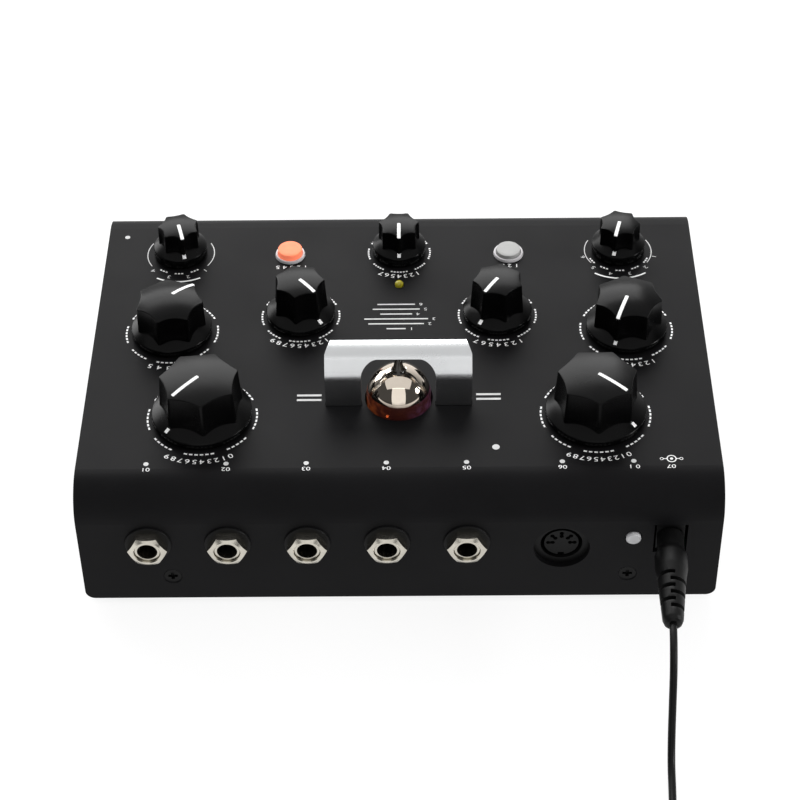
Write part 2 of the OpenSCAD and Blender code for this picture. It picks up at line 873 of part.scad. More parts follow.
// A knob about its own axis, pointer along +X, with z = 0 on the panel
module knob(form) {
    skirt_r = form[0] / 2;
    body_r = form[1] / 2;
    top_r = form[2] / 2;
    height = form[3];
    crown = form[4];
    rim_z = knob_gap + form[5];
    slope_run = skirt_r - skirt_edge - body_r / 2;
    dome_r = (top_r * top_r + crown * crown) / (2 * crown);
    difference() {
        union() {
            // Skirt with an upright rim and a sloping top
            rotate_extrude($fn = 96)
                polygon([
                    [0, knob_gap], [skirt_r - skirt_edge, knob_gap], [skirt_r, knob_gap + skirt_edge],
                    [skirt_r, rim_z - skirt_edge], [skirt_r - skirt_edge, rim_z],
                    [body_r / 2, rim_z + slope_run * skirt_slope], [0, rim_z + slope_run * skirt_slope]
                ]);
            ribbed_body(body_r, top_r, rim_z, height, crown, form[6]);
        }
        // Room for the bushing and its nut
        translate([0, 0, -1])
            cylinder(h = nut_recess_h + 1, r = nut_recess_r);
        // Shaft bore
        translate([0, 0, -1])
            cylinder(h = height - knob_roof + 1, r = shaft_d / 2 + seat_gap);
        pointer_cut(form[7], form[8], height, dome_r);
        // Short mark on the skirt, in line with the pointer
        translate([skirt_r - skirt_edge, 0, rim_z])
            rotate([0, atan(skirt_slope), 0])
                translate([-mark_len - skirt_edge, -mark_w / 2, -pointer_depth / 2])
                    cube([mark_len, mark_w, 1]);
    }
}

module knob_at(place, angle, form) {
    color(knob_black) in_place()
        translate([place[0], place[1], top_z])
            rotate([0, 0, angle])
                knob(form);
}

module shaft_at(place, height) {
    low = under_z - shaft_depth;
    color([0.7, 0.7, 0.68]) in_place()
        translate([place[0], place[1], low])
            cylinder(h = top_z + height - knob_roof - seat_gap - low, d = shaft_d);
}

module knob_cutoff() { knob_at(cutoff_at, cutoff_angle, large_form); }
module knob_time() { knob_at(time_at, time_angle, large_form); }
module knob_drive() { knob_at(drive_at, drive_angle, medium_form); }
module knob_feedback() { knob_at(feedback_at, feedback_angle, medium_form); }
module knob_resonance() { knob_at(resonance_at, resonance_angle, inner_form); }
module knob_mix() { knob_at(mix_at, mix_angle, inner_form); }
module knob_filter_mode() { knob_at(filter_at, filter_angle, small_form); }
module knob_level() { knob_at(level_at, level_angle, small_form); }
module knob_delay_mode() { knob_at(delay_at, delay_angle, small_form); }
module shaft_cutoff() { shaft_at(cutoff_at, large_knob_h); }
module shaft_time() { shaft_at(time_at, large_knob_h); }
module shaft_drive() { shaft_at(drive_at, medium_knob_h); }
module shaft_feedback() { shaft_at(feedback_at, medium_knob_h); }
module shaft_resonance() { shaft_at(resonance_at, inner_knob_h); }
module shaft_mix() { shaft_at(mix_at, inner_knob_h); }
module shaft_filter_mode() { shaft_at(filter_at, small_knob_h); }
module shaft_level() { shaft_at(level_at, small_knob_h); }
module shaft_delay_mode() { shaft_at(delay_at, small_knob_h); }

// Panel buttons, power button and lamp

button_tube_r = button_ring_d / 2 - 0.3;
button_tube_low = under_z - 1;
button_flange_t = 1;
button_flange_z = button_tube_low - seat_gap - button_flange_t;
button_switch_h = button_flange_z - button_travel - 0.3 - control_z;
button_switch_side = 10;
plunger_r = 1.7;
plunger_in = 1;
button_edge = 0.6;

module button_rings() {
    color([0.8, 0.79, 0.79]) in_place()
        for (sx = [-1, 1])
            translate([sx * button_at_x, button_at_y, 0])
                difference() {
                    union() {
                        translate([0, 0, button_tube_low])
                            cylinder(h = top_z - button_tube_low + EPS, r = button_tube_r);
                        translate([0, 0, top_z])
                            cylinder(
                                h = button_ring_h, r1 = button_ring_d / 2 + 0.1, r2 = button_ring_d / 2 - 0.2
                            );
                    }
                    translate([0, 0, button_tube_low - 1])
                        cylinder(h = case_h, r = button_d / 2 + slide_gap);
                }
}

module button_switches() {
    color([0.14, 0.14, 0.15]) in_place()
        for (sx = [-1, 1])
            translate([sx * button_at_x, button_at_y, control_z])
                difference() {
                    translate([-button_switch_side / 2, -button_switch_side / 2, 0])
                        cube([button_switch_side, button_switch_side, button_switch_h]);
                    translate([0, 0, button_switch_h - plunger_in - button_travel - 0.3])
                        cylinder(h = button_switch_h, r = plunger_r + shaft_gap);
                }
}

module panel_button(height) {
    cap_r = button_d / 2;
    cap_top = top_z + height;
    translate([0, 0, button_flange_z])
        cylinder(h = cap_top - button_edge - button_flange_z, r = cap_r);
    translate([0, 0, cap_top - button_edge - EPS])
        cylinder(h = button_edge + EPS, r1 = cap_r, r2 = cap_r - button_edge);
    translate([0, 0, button_flange_z])
        cylinder(h = button_flange_t, r = button_tube_r);
    translate([0, 0, control_z + button_switch_h - plunger_in])
        cylinder(h = button_flange_z - control_z - button_switch_h + plunger_in + EPS, r = plunger_r);
}

module bypass_button() {
    color([1, 0.6, 0.45]) in_place()
        translate([button_at_x, button_at_y, 0])
            panel_button(bypass_h);
}

module tap_button() {
    color([0.77, 0.77, 0.76]) in_place()
        translate([-button_at_x, button_at_y, 0])
            panel_button(tap_h);
}

power_switch_w = 9;
power_switch_gap = 3;
power_switch_len = 14;
power_plunger_r = 1.8;
power_plunger_in = 2;

module power_switch() {
    front = inner_rear_y - power_switch_gap;
    color([0.2, 0.2, 0.22]) in_place()
        difference() {
            translate([power_at_x - power_switch_w / 2, front - power_switch_len, main_z])
                cube([power_switch_w, power_switch_len, foot_h + power_z + power_switch_w / 2 - main_z]);
            translate([power_at_x, front - power_plunger_in - power_travel - 0.3, foot_h + power_z])
                along_y(power_switch_len, power_plunger_r + shaft_gap, power_plunger_r + shaft_gap);
        }
}

module power_button() {
    front = inner_rear_y - power_switch_gap;
    edge = 0.4;
    collar_y = front + power_travel + 0.3;
    dish_depth = 0.3;
    dish_half = power_d / 2 - 0.7;
    dish_r = (dish_half * dish_half + dish_depth * dish_depth) / (2 * dish_depth);
    color([0.69, 0.69, 0.7]) in_place()
        translate([power_at_x, 0, foot_h + power_z]) {
            translate([0, collar_y, 0])
                along_y(rear_y + power_out - edge - collar_y, power_d / 2, power_d / 2);
            translate([0, rear_y + power_out - edge - EPS, 0])
                difference() {
                    along_y(edge + EPS, power_d / 2, power_d / 2 - edge);
                    translate([0, edge + dish_r - dish_depth, 0])
                        sphere(r = dish_r);
                }
            translate([0, front - power_plunger_in, 0])
                along_y(collar_y - front + power_plunger_in + EPS, power_plunger_r, power_plunger_r);
        }
}

module level_lamp() {
    lamp_r = lamp_d / 2;
    rim_t = 1;
    shoulder = top_z + 0.2;
    leg_r = 0.25;
    color([0.75, 0.7, 0.25]) in_place()
        translate([0, lamp_at_y, 0]) {
            translate([0, 0, under_z - rim_t])
                cylinder(h = shoulder - under_z + rim_t, r = lamp_r);
            translate([0, 0, shoulder])
                sphere(r = lamp_r);
            translate([0, 0, under_z - rim_t])
                cylinder(h = rim_t, r = lamp_r + 0.4);
            for (sx = [-1, 1])
                translate([sx * lamp_r * 0.6, 0, control_z])
                    cylinder(h = under_z - rim_t - control_z + EPS, r = leg_r, $fn = 16);
        }
}

// Audio jacks

jack_thread_r = jack_thread_d / 2;
jack_sleeve_len = sheet_t + jack_washer_t + jack_nut_h - jack_rim - seat_gap;
jack_body_w = 15.6;
jack_body_len = 25;
jack_body_over = 8;
jack_tip_r = 3.7;

module jack_sleeves() {
    edge = 0.5;
    color(nickel) in_place()
        for (p = jack_places)
            translate([p[0], inner_rear_y, p[1]])
                difference() {
                    union() {
                        along_y(jack_sleeve_len - edge, jack_thread_r, jack_thread_r);
                        translate([0, jack_sleeve_len - edge, 0])
                            along_y(edge, jack_thread_r, jack_thread_r - edge);
                    }
                    translate([0, -1, 0])
                        along_y(jack_sleeve_len + 2, jack_bore_d / 2, jack_bore_d / 2);
                }
}

module jack_bodies() {
    color([0.1, 0.1, 0.11]) in_place()
        for (p = jack_places)
            difference() {
                translate([p[0] - jack_body_w / 2, inner_rear_y - jack_body_len, main_z])
                    cube([jack_body_w, jack_body_len, p[1] + jack_body_over - main_z]);
                translate([p[0], inner_rear_y - jack_body_len + 2, p[1]])
                    along_y(jack_body_len, jack_tip_r, jack_tip_r);
            }
}

module jack_washers() {
    color([0.07, 0.07, 0.07]) in_place()
        for (p = jack_places)
            translate([p[0], rear_y, p[1]])
                difference() {
                    along_y(jack_washer_t, jack_washer_d / 2, jack_washer_d / 2 - 0.2);
                    translate([0, -1, 0])
                        along_y(jack_washer_t + 2, jack_thread_r + slide_gap, jack_thread_r + slide_gap);
                }
}

// Cap nut with a coned outer face, closed by a rim over the end of the sleeve
module jack_nut() {
    face_r = jack_rim_d / 2 + 0.6;
    corner_drop = 0.9;
    corner_at = jack_nut_af / 2 / cos(30);
    base_r = face_r + (corner_at - face_r) / corner_drop * jack_nut_h;
    difference() {
        intersection() {
            rotate([-90, 0, 0])
                hex_prism(jack_nut_af, jack_nut_h);
            along_y(jack_nut_h, base_r, face_r);
        }
        translate([0, -1, 0])
            along_y(jack_nut_h - jack_rim + 1, jack_thread_r + thread_gap, jack_thread_r + thread_gap);
        translate([0, -1, 0])
            along_y(jack_nut_h + 2, jack_rim_d / 2, jack_rim_d / 2);
    }
}

module jack_nuts() {
    color(nickel) in_place()
        for (p = jack_places)
            translate([p[0], rear_y + jack_washer_t, p[1]])
                jack_nut();
}

// Five-pin socket

din_body_w = 20;
din_body_len = 13;
din_well = 8;
din_core_d = din_ring_d - 2.4;
din_pin_circle_r = 3.5;
din_pin_r = 0.7;
din_slot_len = 1.4;
din_slot_w = 0.9;

// Five contacts over the upper half turn, each a radial slot between two round eyes
module din_contact_outline() {
    for (i = [0 : 4])
        rotate(45 * i) {
            for (end = [-1, 1])
                translate([din_pin_circle_r + end * din_slot_len / 2, 0])
                    circle(r = din_pin_r, $fn = 24);
            translate([din_pin_circle_r, 0])
                square([din_slot_len, din_slot_w], center = true);
        }
}

module din_shell() {
    z = foot_h + din_z;
    color([0.08, 0.08, 0.085]) in_place()
        difference() {
            translate([din_at_x - din_body_w / 2, inner_rear_y - seat_gap - din_body_len, main_z])
                cube([din_body_w, din_body_len, z + din_body_w / 2 - main_z]);
            translate([din_at_x, inner_rear_y - seat_gap - din_well, z])
                along_y(din_well + 1, din_ring_d / 2, din_ring_d / 2);
        }
}

module din_insert() {
    z = foot_h + din_z;
    color([0.12, 0.12, 0.125]) in_place()
        translate([din_at_x, inner_rear_y - seat_gap - din_well, z])
            difference() {
                union() {
                    along_y(din_well - 0.3, din_core_d / 2, din_core_d / 2);
                    along_y(1.5, din_ring_d / 2 - seat_gap, din_ring_d / 2 - seat_gap);
                }
                translate([0, din_well, 0])
                    rotate([90, 0, 0])
                        linear_extrude(din_well - 2)
                            din_contact_outline();
                // Key notch at the bottom
                translate([-1, 2, -din_core_d / 2 - 1])
                    cube([2, din_well, 2]);
            }
}

// Supply socket, plug and lead

dc_w = 9;
dc_h = 11;
dc_len = 14;
dc_face_y = inner_rear_y + sheet_t / 2;
barrel_r = 2.75;
barrel_bore_r = 1.25;
barrel_len = 9.5;
pin_tip_r = 1;
plug_collar_d = 8.6;
plug_collar_len = 6;

module dc_socket() {
    z = foot_h + dc_z;
    color([0.07, 0.07, 0.075]) in_place()
        union() {
            difference() {
                union() {
                    translate([dc_at_x - dc_w / 2, dc_face_y - dc_len, main_z])
                        cube([dc_w, inner_rear_y - seat_gap - dc_face_y + dc_len, z + dc_h / 2 - main_z]);
                    translate([dc_at_x - dc_w / 2, dc_face_y - dc_len, z - dc_h / 2])
                        cube([dc_w, dc_len, dc_h]);
                }
                translate([dc_at_x, dc_face_y - barrel_len - 0.5, z])
                    along_y(barrel_len + 1, barrel_r + slide_gap, barrel_r + slide_gap);
            }
            translate([dc_at_x, dc_face_y - barrel_len - 1, z])
                along_y(barrel_len - 1, pin_tip_r, pin_tip_r);
        }
}

plug_lift = plug_collar_d / 2 * sin(plug_lean);
plug_face_y = dc_face_y + seat_gap + plug_lift;
plug_total = plug_len + rear_y - dc_face_y;
plug_axis = [sin(plug_lean), cos(plug_lean), 0];
plug_tail = [dc_at_x, plug_face_y, foot_h + dc_z] + plug_total * plug_axis;

module dc_plug_barrel() {
    color(nickel) in_place()
        translate([dc_at_x, dc_face_y + seat_gap - barrel_len, foot_h + dc_z])
            difference() {
                along_y(barrel_len, barrel_r, barrel_r);
                translate([0, -1, 0])
                    along_y(barrel_len + 2, barrel_bore_r, barrel_bore_r);
            }
}

// Moulded plug: collar, grip and a tail with slots from its two sides in turn, which bends with the lead
module dc_plug() {
    grip_r = plug_d / 2;
    grip_y = 14;
    tail_y = 18;
    tail_r1 = 4.6;
    tail_r2 = 3.3;
    end_r = 2;
    slot_w = 1.4;
    slot_pitch = 2.6;
    slot_rows = 6;
    slot_past = 0.8;
    core_r = 1.8;
    color(cord_black) in_place()
        translate([dc_at_x, plug_face_y, foot_h + dc_z])
            rotate([0, 0, -plug_lean])
                difference() {
                    rotate([-90, 0, 0])
                        rotate_extrude()
                            polygon([
                                [0, 0], [plug_collar_d / 2, 0], [plug_collar_d / 2, plug_collar_len],
                                [grip_r, plug_collar_len + 3], [grip_r, grip_y], [tail_r1, tail_y],
                                [tail_r2, plug_total - 2], [tail_r2 - 0.5, plug_total - 0.6],
                                [end_r, plug_total], [0, plug_total]
                            ]);
                    difference() {
                        for (i = [0 : slot_rows - 1])
                            translate([
                                i % 2 == 0 ? -slot_past : slot_past - plug_d,
                                tail_y + i * slot_pitch, -plug_d / 2
                            ])
                                cube([plug_d, slot_w, plug_d]);
                        along_y(plug_total, core_r, core_r);
                    }
                }
}

// Route of the lead from the plug to the coil, on the table where it lies
coil_lift = tie_t + 0.2;
coil_x = -62;
coil_y = 187;
cord_r = cord_d / 2;
coil_low_z = cord_r + coil_lift;
coil_out_r = coil_mid_d / 2 + (coil_loops - 1) / 2 * coil_pitch;
coil_start_x = coil_x - coil_out_r;
route = [
    [-83.94, 108.99, 29.6], [-83.7, 113.2, 29.4], [-83.45, 118, 28], [-83.25, 122.8, 24.6],
    [-83.1, 126.6, 19.8], [-82.95, 130.4, 14.2], [-82.8, 134.2, 8.9], [-82.65, 138.2, 4.8],
    [-82.45, 143, 2.3], [-82.2, 149, 1.45], [-81.8, 155.5, 1.3], [-81.2, 162, 1.4],
    [-80.5, 169, 1.7], [-80.1, 175, 2.05], [-79.92, 180, 2.2], [-79.92, 184.6, 2.2]
];
// The lead starts on the plug's tail and ends on the coil, whatever their sizes
lead = [for (i = [0 : len(route) - 1])
    i == 0 ? plug_tail
    : i == len(route) - 1 ? [coil_start_x, coil_y - cord_d, coil_low_z]
    : route[i]];

function unit(v) = v / norm(v);
function path_dir(path, i) =
    let (n = len(path))
    i == 0 ? unit(path[1] - path[0])
    : i == n - 1 ? unit(path[n - 1] - path[n - 2])
    : unit(unit(path[i + 1] - path[i]) + unit(path[i] - path[i - 1]));

// Ring of points square to a direction; the lead is never upright
function ring(centre, dir, r, sides) =
    let (side = unit(cross(dir, [0, 0, 1])), up = cross(side, dir))
    [for (k = [0 : sides - 1])
        centre + r * (cos(360 * k / sides) * side + sin(360 * k / sides) * up)];

module tube(path, dirs, r, sides) {
    n = len(path);
    points = [for (i = [0 : n - 1]) each ring(path[i], dirs[i], r, sides)];
    walls = [for (i = [0 : n - 2], k = [0 : sides - 1])
        let (a = i * sides + k, b = i * sides + (k + 1) % sides)
        each [[a, b, b + sides], [a, b + sides, a + sides]]];
    last = (n - 1) * sides;
    caps = [for (k = [1 : sides - 2])
        each [[0, k + 1, k], [last, last + k, last + k + 1]]];
    polyhedron(points = points, faces = [for (f = concat(walls, caps)) [f[0], f[2], f[1]]], convexity = 10);
}

cord_sides = 8;

module power_cord() {
    dirs = [for (i = [0 : len(lead) - 1])
        i == 0 ? plug_axis : i == len(lead) - 1 ? [0, 1, 0] : path_dir(lead, i)];
    color(cord_black) in_place()
        tube(lead, dirs, cord_r, cord_sides);
}

// Coil: loops spiral in and out again, climbing a layer in the half turn where they reverse
rings_per_loop = 24;
coil_sides = 6;
layer_turns = coil_loops - 1;
climb_turns = 0.5;
layer_span = layer_turns + climb_turns;
coil_end_turns = 0.75;
coil_turns = coil_layers * layer_turns + (coil_layers - 1) * climb_turns + coil_end_turns;
layer_rise = coil_pitch;

// Layer at t turns, and the turns done in it; the last layer runs on to the coil's end
function coil_step(t) = min(floor(t / layer_span), coil_layers - 1);
function coil_done(t) = t - coil_step(t) * layer_span;

// Turns inward from the coil's outside after t turns; a reversal overshoots and comes back
function turns_in(t) =
    let (done = coil_done(t), past = done - layer_turns, last = coil_step(t) == coil_layers - 1,
        along = last || past < climb_turns / 2 ? done : layer_turns + climb_turns - past)
    coil_step(t) % 2 == 0 ? along : layer_turns - along;
function smooth(s) = s * s * (3 - 2 * s);
function coil_rise(t) =
    let (past = coil_done(t) - layer_turns, last = coil_step(t) == coil_layers - 1)
    coil_step(t) + (last ? 0 : smooth(max(0, past / climb_turns)));
function coil_point(t) =
    let (r = coil_out_r - turns_in(t) * coil_pitch, angle = 180 - 360 * t)
    [coil_x + r * cos(angle), coil_y + r * sin(angle), coil_low_z + layer_rise * coil_rise(t)];

coil_steps = round(coil_turns * rings_per_loop);
coil_body = [for (i = [0 : coil_steps]) coil_point(i / rings_per_loop)];
coil_exit = coil_body[coil_steps];
coil_exit_len = coil_out_r + 2 * cord_d;
coil_end = coil_exit + [coil_exit_len, 0, 0];
coil_path = concat(
    [[coil_start_x, coil_y - cord_d, coil_low_z]],
    coil_body,
    [for (s = [1 / 3, 2 / 3, 1]) coil_exit + [s * coil_exit_len, 0, 0]]
);

// Least gap between turns, measured on the path's own points
coil_gap = min([for (i = [0 : len(coil_path) - 1], j = [i + rings_per_loop / 2 : 1 : len(coil_path) - 1])
    norm(coil_path[i] - coil_path[j])]) - cord_d;
echo(coil_least_gap = coil_gap);

module cord_coil() {
    n = len(coil_path);
    dirs = [for (i = [0 : n - 1])
        i == 0 ? [0, 1, 0] : i >= n - 3 ? [1, 0, 0] : path_dir(coil_path, i)];
    color(cord_black) in_place()
        tube(coil_path, dirs, cord_r, coil_sides);
}

module cord_tie() {
    bundle_w = (coil_loops - 1) * coil_pitch + cord_d + 1.4;
    bundle_h = (coil_layers - 1) * layer_rise + cord_d + 0.4;
    bundle_r = coil_mid_d / 2 + coil_pitch / 4;
    color([0.1, 0.1, 0.1]) in_place()
        translate([coil_x, coil_y - bundle_r, tie_t + bundle_h / 2])
            rotate([0, 90, 0])
                linear_extrude(tie_w, center = true)
                    difference() {
                        square([bundle_h + 2 * tie_t, bundle_w + 2 * tie_t], center = true);
                        square([bundle_h, bundle_w], center = true);
                    }
}

adapter_relief = 6;
adapter_edge = 4;
adapter_x = coil_end[0] + adapter_relief + adapter_w / 2;
adapter_y = coil_end[1];

module rounded_rect(w, h, r) {
    square([w - 2 * r, h], center = true);
    square([w, h - 2 * r], center = true);
    for (sx = [-1, 1], sy = [-1, 1])
        translate([sx * (w / 2 - r), sy * (h / 2 - r)])
            circle(r = r);
}

module rounded_block(size, r) {
    translate([0, 0, size[2] / 2])
        intersection() {
            linear_extrude(size[2], center = true)
                rounded_rect(size[0], size[1], r);
            rotate([90, 0, 0])
                linear_extrude(size[1], center = true)
                    rounded_rect(size[0], size[2], r);
        }
}

module power_adapter() {
    color(cord_black) in_place()
        union() {
            translate([adapter_x, adapter_y, 0])
                rounded_block([adapter_w, adapter_len, adapter_h], adapter_edge);
            // Strain relief towards the coil
            translate(coil_end)
                rotate([0, 90, 0])
                    cylinder(h = adapter_relief + adapter_edge, r1 = cord_r + 0.6, r2 = cord_r + 1.6);
        }
}

pin_pitch = 19;
mains_pin_r = 2;
mains_pin_len = 19;

module adapter_pins() {
    color(nickel) in_place()
        for (sx = [-1, 1])
            translate([adapter_x + sx * pin_pitch / 2, adapter_y + adapter_len / 2, adapter_h / 2]) {
                along_y(mains_pin_len - mains_pin_r, mains_pin_r, mains_pin_r);
                translate([0, mains_pin_len - mains_pin_r, 0])
                    sphere(r = mains_pin_r);
            }
}

// Boards

board_w = case_w - 2 * board_end;
board_edge = 4.5;
main_front = -22 * spread_y;
main_rear = inner_rear_y - board_edge;
control_front = -rear_y + 2 * board_edge;
control_rear = 43 * spread_y;
pillar_x = board_w / 2 - board_edge;
pillar_rows = [-16 * spread_y, 36 * spread_y];
stud_r = 1.45;

module pillar_places() {
    for (sx = [-1, 1], y = pillar_rows)
        translate([sx * pillar_x, y, 0])
            children();
}

module main_board() {
    color(board_green) in_place()
        difference() {
            translate([-board_w / 2, main_front, main_z - board_t])
                cube([board_w, main_rear - main_front, board_t]);
            translate([0, valve_at_y, main_z - board_t - 1])
                cylinder(h = board_t + 2, r = socket_r + slide_gap);
            pillar_places()
                translate([0, 0, main_z - board_t - 1])
                    cylinder(h = board_t + 2, r = stud_r + slide_gap);
        }
}

module control_board() {
    color(board_green) in_place()
        difference() {
            translate([-board_w / 2, control_front, control_z - board_t])
                cube([board_w, control_rear - control_front, board_t]);
            translate([0, valve_at_y, control_z - board_t - 1])
                cylinder(h = board_t + 2, r = glass_r + 2);
            pillar_places()
                translate([0, 0, control_z - board_t - 1])
                    cylinder(h = board_t + 2, r = stud_r + slide_gap);
        }
}

module board_pillars() {
    stud_in = 4;
    color([0.75, 0.65, 0.4]) in_place()
        pillar_places() {
            // Lower pillar on the pan
            translate([0, 0, pan_floor_z])
                difference() {
                    hex_prism(pillar_af, main_z - board_t - pan_floor_z);
                    translate([0, 0, main_z - board_t - pan_floor_z - stud_in - 0.5])
                        cylinder(h = stud_in + 2, r = stud_r + thread_gap);
                }
            // Upper pillar between the boards, with its stud through the main board
            difference() {
                union() {
                    translate([0, 0, main_z])
                        hex_prism(pillar_af, control_z - board_t - main_z);
                    translate([0, 0, main_z - board_t - stud_in])
                        cylinder(h = board_t + stud_in + EPS, r = stud_r);
                }
                translate([0, 0, control_z - board_t - stud_in - 0.5])
                    cylinder(h = stud_in + 2, r = stud_r + thread_gap);
            }
        }
}

module board_screws() {
    head_h = 1.4 * stud_r;
    thread_in = 2.8 * stud_r;
    slot_w = stud_r / 2;
    color(nickel) in_place()
        pillar_places()
            translate([0, 0, control_z])
                difference() {
                    union() {
                        cylinder(h = head_h, r = 1.9 * stud_r);
                        translate([0, 0, -board_t - thread_in])
                            cylinder(h = board_t + thread_in + EPS, r = stud_r);
                    }
                    translate([0, 0, head_h])
                        cube([4 * stud_r, slot_w, head_h], center = true);
                }
}

// Part of a board's width or depth, from the middle of the case
function on_board(share_x, share_y) = [share_x * board_w / 2, share_y * case_d / 2];

module board_header() {
    header_at = on_board(0, 0);
    header_w = board_w / 5;
    header_t = board_w / 40;
    color([0.08, 0.08, 0.09]) in_place()
        translate([header_at[0] - header_w / 2, header_at[1] - header_t / 2, main_z])
            cube([header_w, header_t, control_z - board_t - main_z]);
}

module board_chips() {
    chip_w = board_w / 16;
    chip_h = board_t;
    chip_shares = [[-0.6, -0.12], [-0.38, -0.14], [0.42, -0.12], [0.62, -0.14], [0.3, 0.22], [-0.3, 0.22]];
    color([0.1, 0.1, 0.11]) in_place()
        for (c = chip_shares)
            translate([on_board(c[0], c[1])[0] - chip_w / 2, on_board(c[0], c[1])[1] - chip_w / 2, main_z])
                cube([chip_w, chip_w, chip_h]);
}

module board_capacitors() {
    can_r = board_w / 49;
    can_h = board_w / 18;
    can_edge = can_r / 7;
    can_shares = [[-0.5, 0.33], [-0.62, 0.33], [0.5, 0.33], [0.62, 0.33], [0.76, 0.19], [-0.76, 0.19]];
    color([0.12, 0.14, 0.3]) in_place()
        for (c = can_shares)
            translate([on_board(c[0], c[1])[0], on_board(c[0], c[1])[1], main_z]) {
                cylinder(h = can_h - can_edge, r = can_r);
                translate([0, 0, can_h - can_edge])
                    cylinder(h = can_edge, r1 = can_r, r2 = can_r - can_edge);
            }
}

top_cover();
base_pan();
cover_screws();
rubber_feet();
tube_guard();
guard_nuts();
tube_glass();
tube_base();
tube_electrodes();
tube_pins();
tube_socket();
pot_bodies();
switch_bodies();
bushing_nuts();
button_rings();
button_switches();
power_switch();
level_lamp();
jack_bodies();
jack_sleeves();
jack_nuts();
jack_washers();
din_shell();
din_insert();
dc_socket();
main_board();
control_board();
board_pillars();
board_screws();
board_header();
board_chips();
board_capacitors();
dc_plug();
dc_plug_barrel();
power_cord();
cord_coil();
cord_tie();
power_adapter();
adapter_pins();
knob_cutoff();
knob_time();
knob_drive();
knob_feedback();
knob_resonance();
knob_mix();
knob_filter_mode();
knob_level();
knob_delay_mode();
shaft_cutoff();
shaft_time();
shaft_drive();
shaft_feedback();
shaft_resonance();
shaft_mix();
shaft_filter_mode();
shaft_level();
shaft_delay_mode();
bypass_button();
tap_button();
power_button();
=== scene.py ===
"""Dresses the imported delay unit: finishes, knobs, panel print, valve, sockets, supply lead and studio."""

import json
import math

import bmesh
import bpy
from bpy.props import FloatProperty, FloatVectorProperty, IntProperty, PointerProperty
from mathutils import Matrix, Vector
from mathutils.geometry import convex_hull_2d


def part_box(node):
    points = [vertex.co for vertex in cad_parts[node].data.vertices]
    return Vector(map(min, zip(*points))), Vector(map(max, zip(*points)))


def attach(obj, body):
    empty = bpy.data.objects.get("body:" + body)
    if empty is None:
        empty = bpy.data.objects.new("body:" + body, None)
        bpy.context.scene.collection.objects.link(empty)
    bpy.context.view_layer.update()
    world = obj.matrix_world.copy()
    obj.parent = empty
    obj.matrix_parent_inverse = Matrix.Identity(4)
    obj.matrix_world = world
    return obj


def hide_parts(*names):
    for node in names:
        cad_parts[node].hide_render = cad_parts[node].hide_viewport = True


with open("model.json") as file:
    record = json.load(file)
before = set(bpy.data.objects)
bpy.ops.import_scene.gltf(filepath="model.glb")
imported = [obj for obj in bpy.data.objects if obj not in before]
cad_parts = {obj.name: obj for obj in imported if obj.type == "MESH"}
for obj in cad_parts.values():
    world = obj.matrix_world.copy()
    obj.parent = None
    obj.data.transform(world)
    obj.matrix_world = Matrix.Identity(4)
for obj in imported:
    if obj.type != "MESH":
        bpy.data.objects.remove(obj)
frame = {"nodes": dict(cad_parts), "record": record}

bl_info = {
    "name": "Delay unit dresser",
    "version": (1, 0, 0),
    "blender": (4, 5, 0),
    "location": "View3D > Sidebar > Delay unit",
    "description": "Builds the visible pieces, finishes and studio of a delay unit around its CAD frame",
    "category": "Object",
}

MM = 0.001
NODES = frame["nodes"]
COVER_LOW, COVER_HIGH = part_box("top_cover")
PANEL_Z = COVER_HIGH.z
MIDDLE_Y = (COVER_LOW.y + COVER_HIGH.y) / 2
VALVE_LOW, VALVE_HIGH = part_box("tube_glass")
VALVE_Y = (VALVE_LOW.y + VALVE_HIGH.y) / 2
VALVE_R = (VALVE_HIGH.x - VALVE_LOW.x) / 2

# Knob name: size class, pointer angle from +X as photographed, dial print
KNOBS = {
    "cutoff": ("large", 45, "pot"),
    "time": ("large", 142, "pot"),
    "drive": ("medium", -132, "pot"),
    "feedback": ("medium", 68, "pot"),
    "resonance": ("inner", 133, "pot"),
    "mix": ("inner", 54, "pot"),
    "filter_mode": ("small", 105, "switch"),
    "level": ("small", 90, "pot"),
    "delay_mode": ("small", 75, "switch"),
}
# Size class: body diameter at foot and top, crown, rim height, hollow depth, pointer start and end,
# ring of dashes, in mm
KNOB_FORMS = {
    "large": (27.7, 26.0, 1.6, 2.6, 0.55, 0.8, 10.6, 17.7),
    "medium": (23.4, 22.9, 2.2, 2.6, 0.8, 2.2, 10.8, 15.4),
    "inner": (18.8, 17.4, 1.1, 2.6, 0.65, 0.8, 7.2, 13.1),
    "small": (14.9, 14.6, 1.0, 3.8, 0.75, 0.8, 6.6, 10.75),
}


# Settings that a user would change

class DelayFinishSettings(bpy.types.PropertyGroup):
    """Colours of the unit's finishes"""

    coat: FloatVectorProperty(
        name="Case coat", description="Colour of the powder coat", subtype="COLOR",
        size=3, min=0, max=1, default=(0.0054, 0.0053, 0.0058))
    knob: FloatVectorProperty(
        name="Knob", description="Colour of the moulded knobs", subtype="COLOR",
        size=3, min=0, max=1, default=(0.0012, 0.0012, 0.0013))
    print_paint: FloatVectorProperty(
        name="Print", description="Colour of the printed marks", subtype="COLOR",
        size=3, min=0, max=1, default=(0.92, 0.92, 0.92))
    guard: FloatVectorProperty(
        name="Guard", description="Colour of the satin sheet guard", subtype="COLOR",
        size=3, min=0, max=1, default=(0.69, 0.70, 0.708))
    plating: FloatVectorProperty(
        name="Plating", description="Colour of the nickel plate", subtype="COLOR",
        size=3, min=0, max=1, default=(0.60, 0.57, 0.50))
    lit_cap: FloatVectorProperty(
        name="Lit cap", description="Light of the bypass button", subtype="COLOR",
        size=3, min=0, max=1, default=(1.0, 0.23, 0.13))


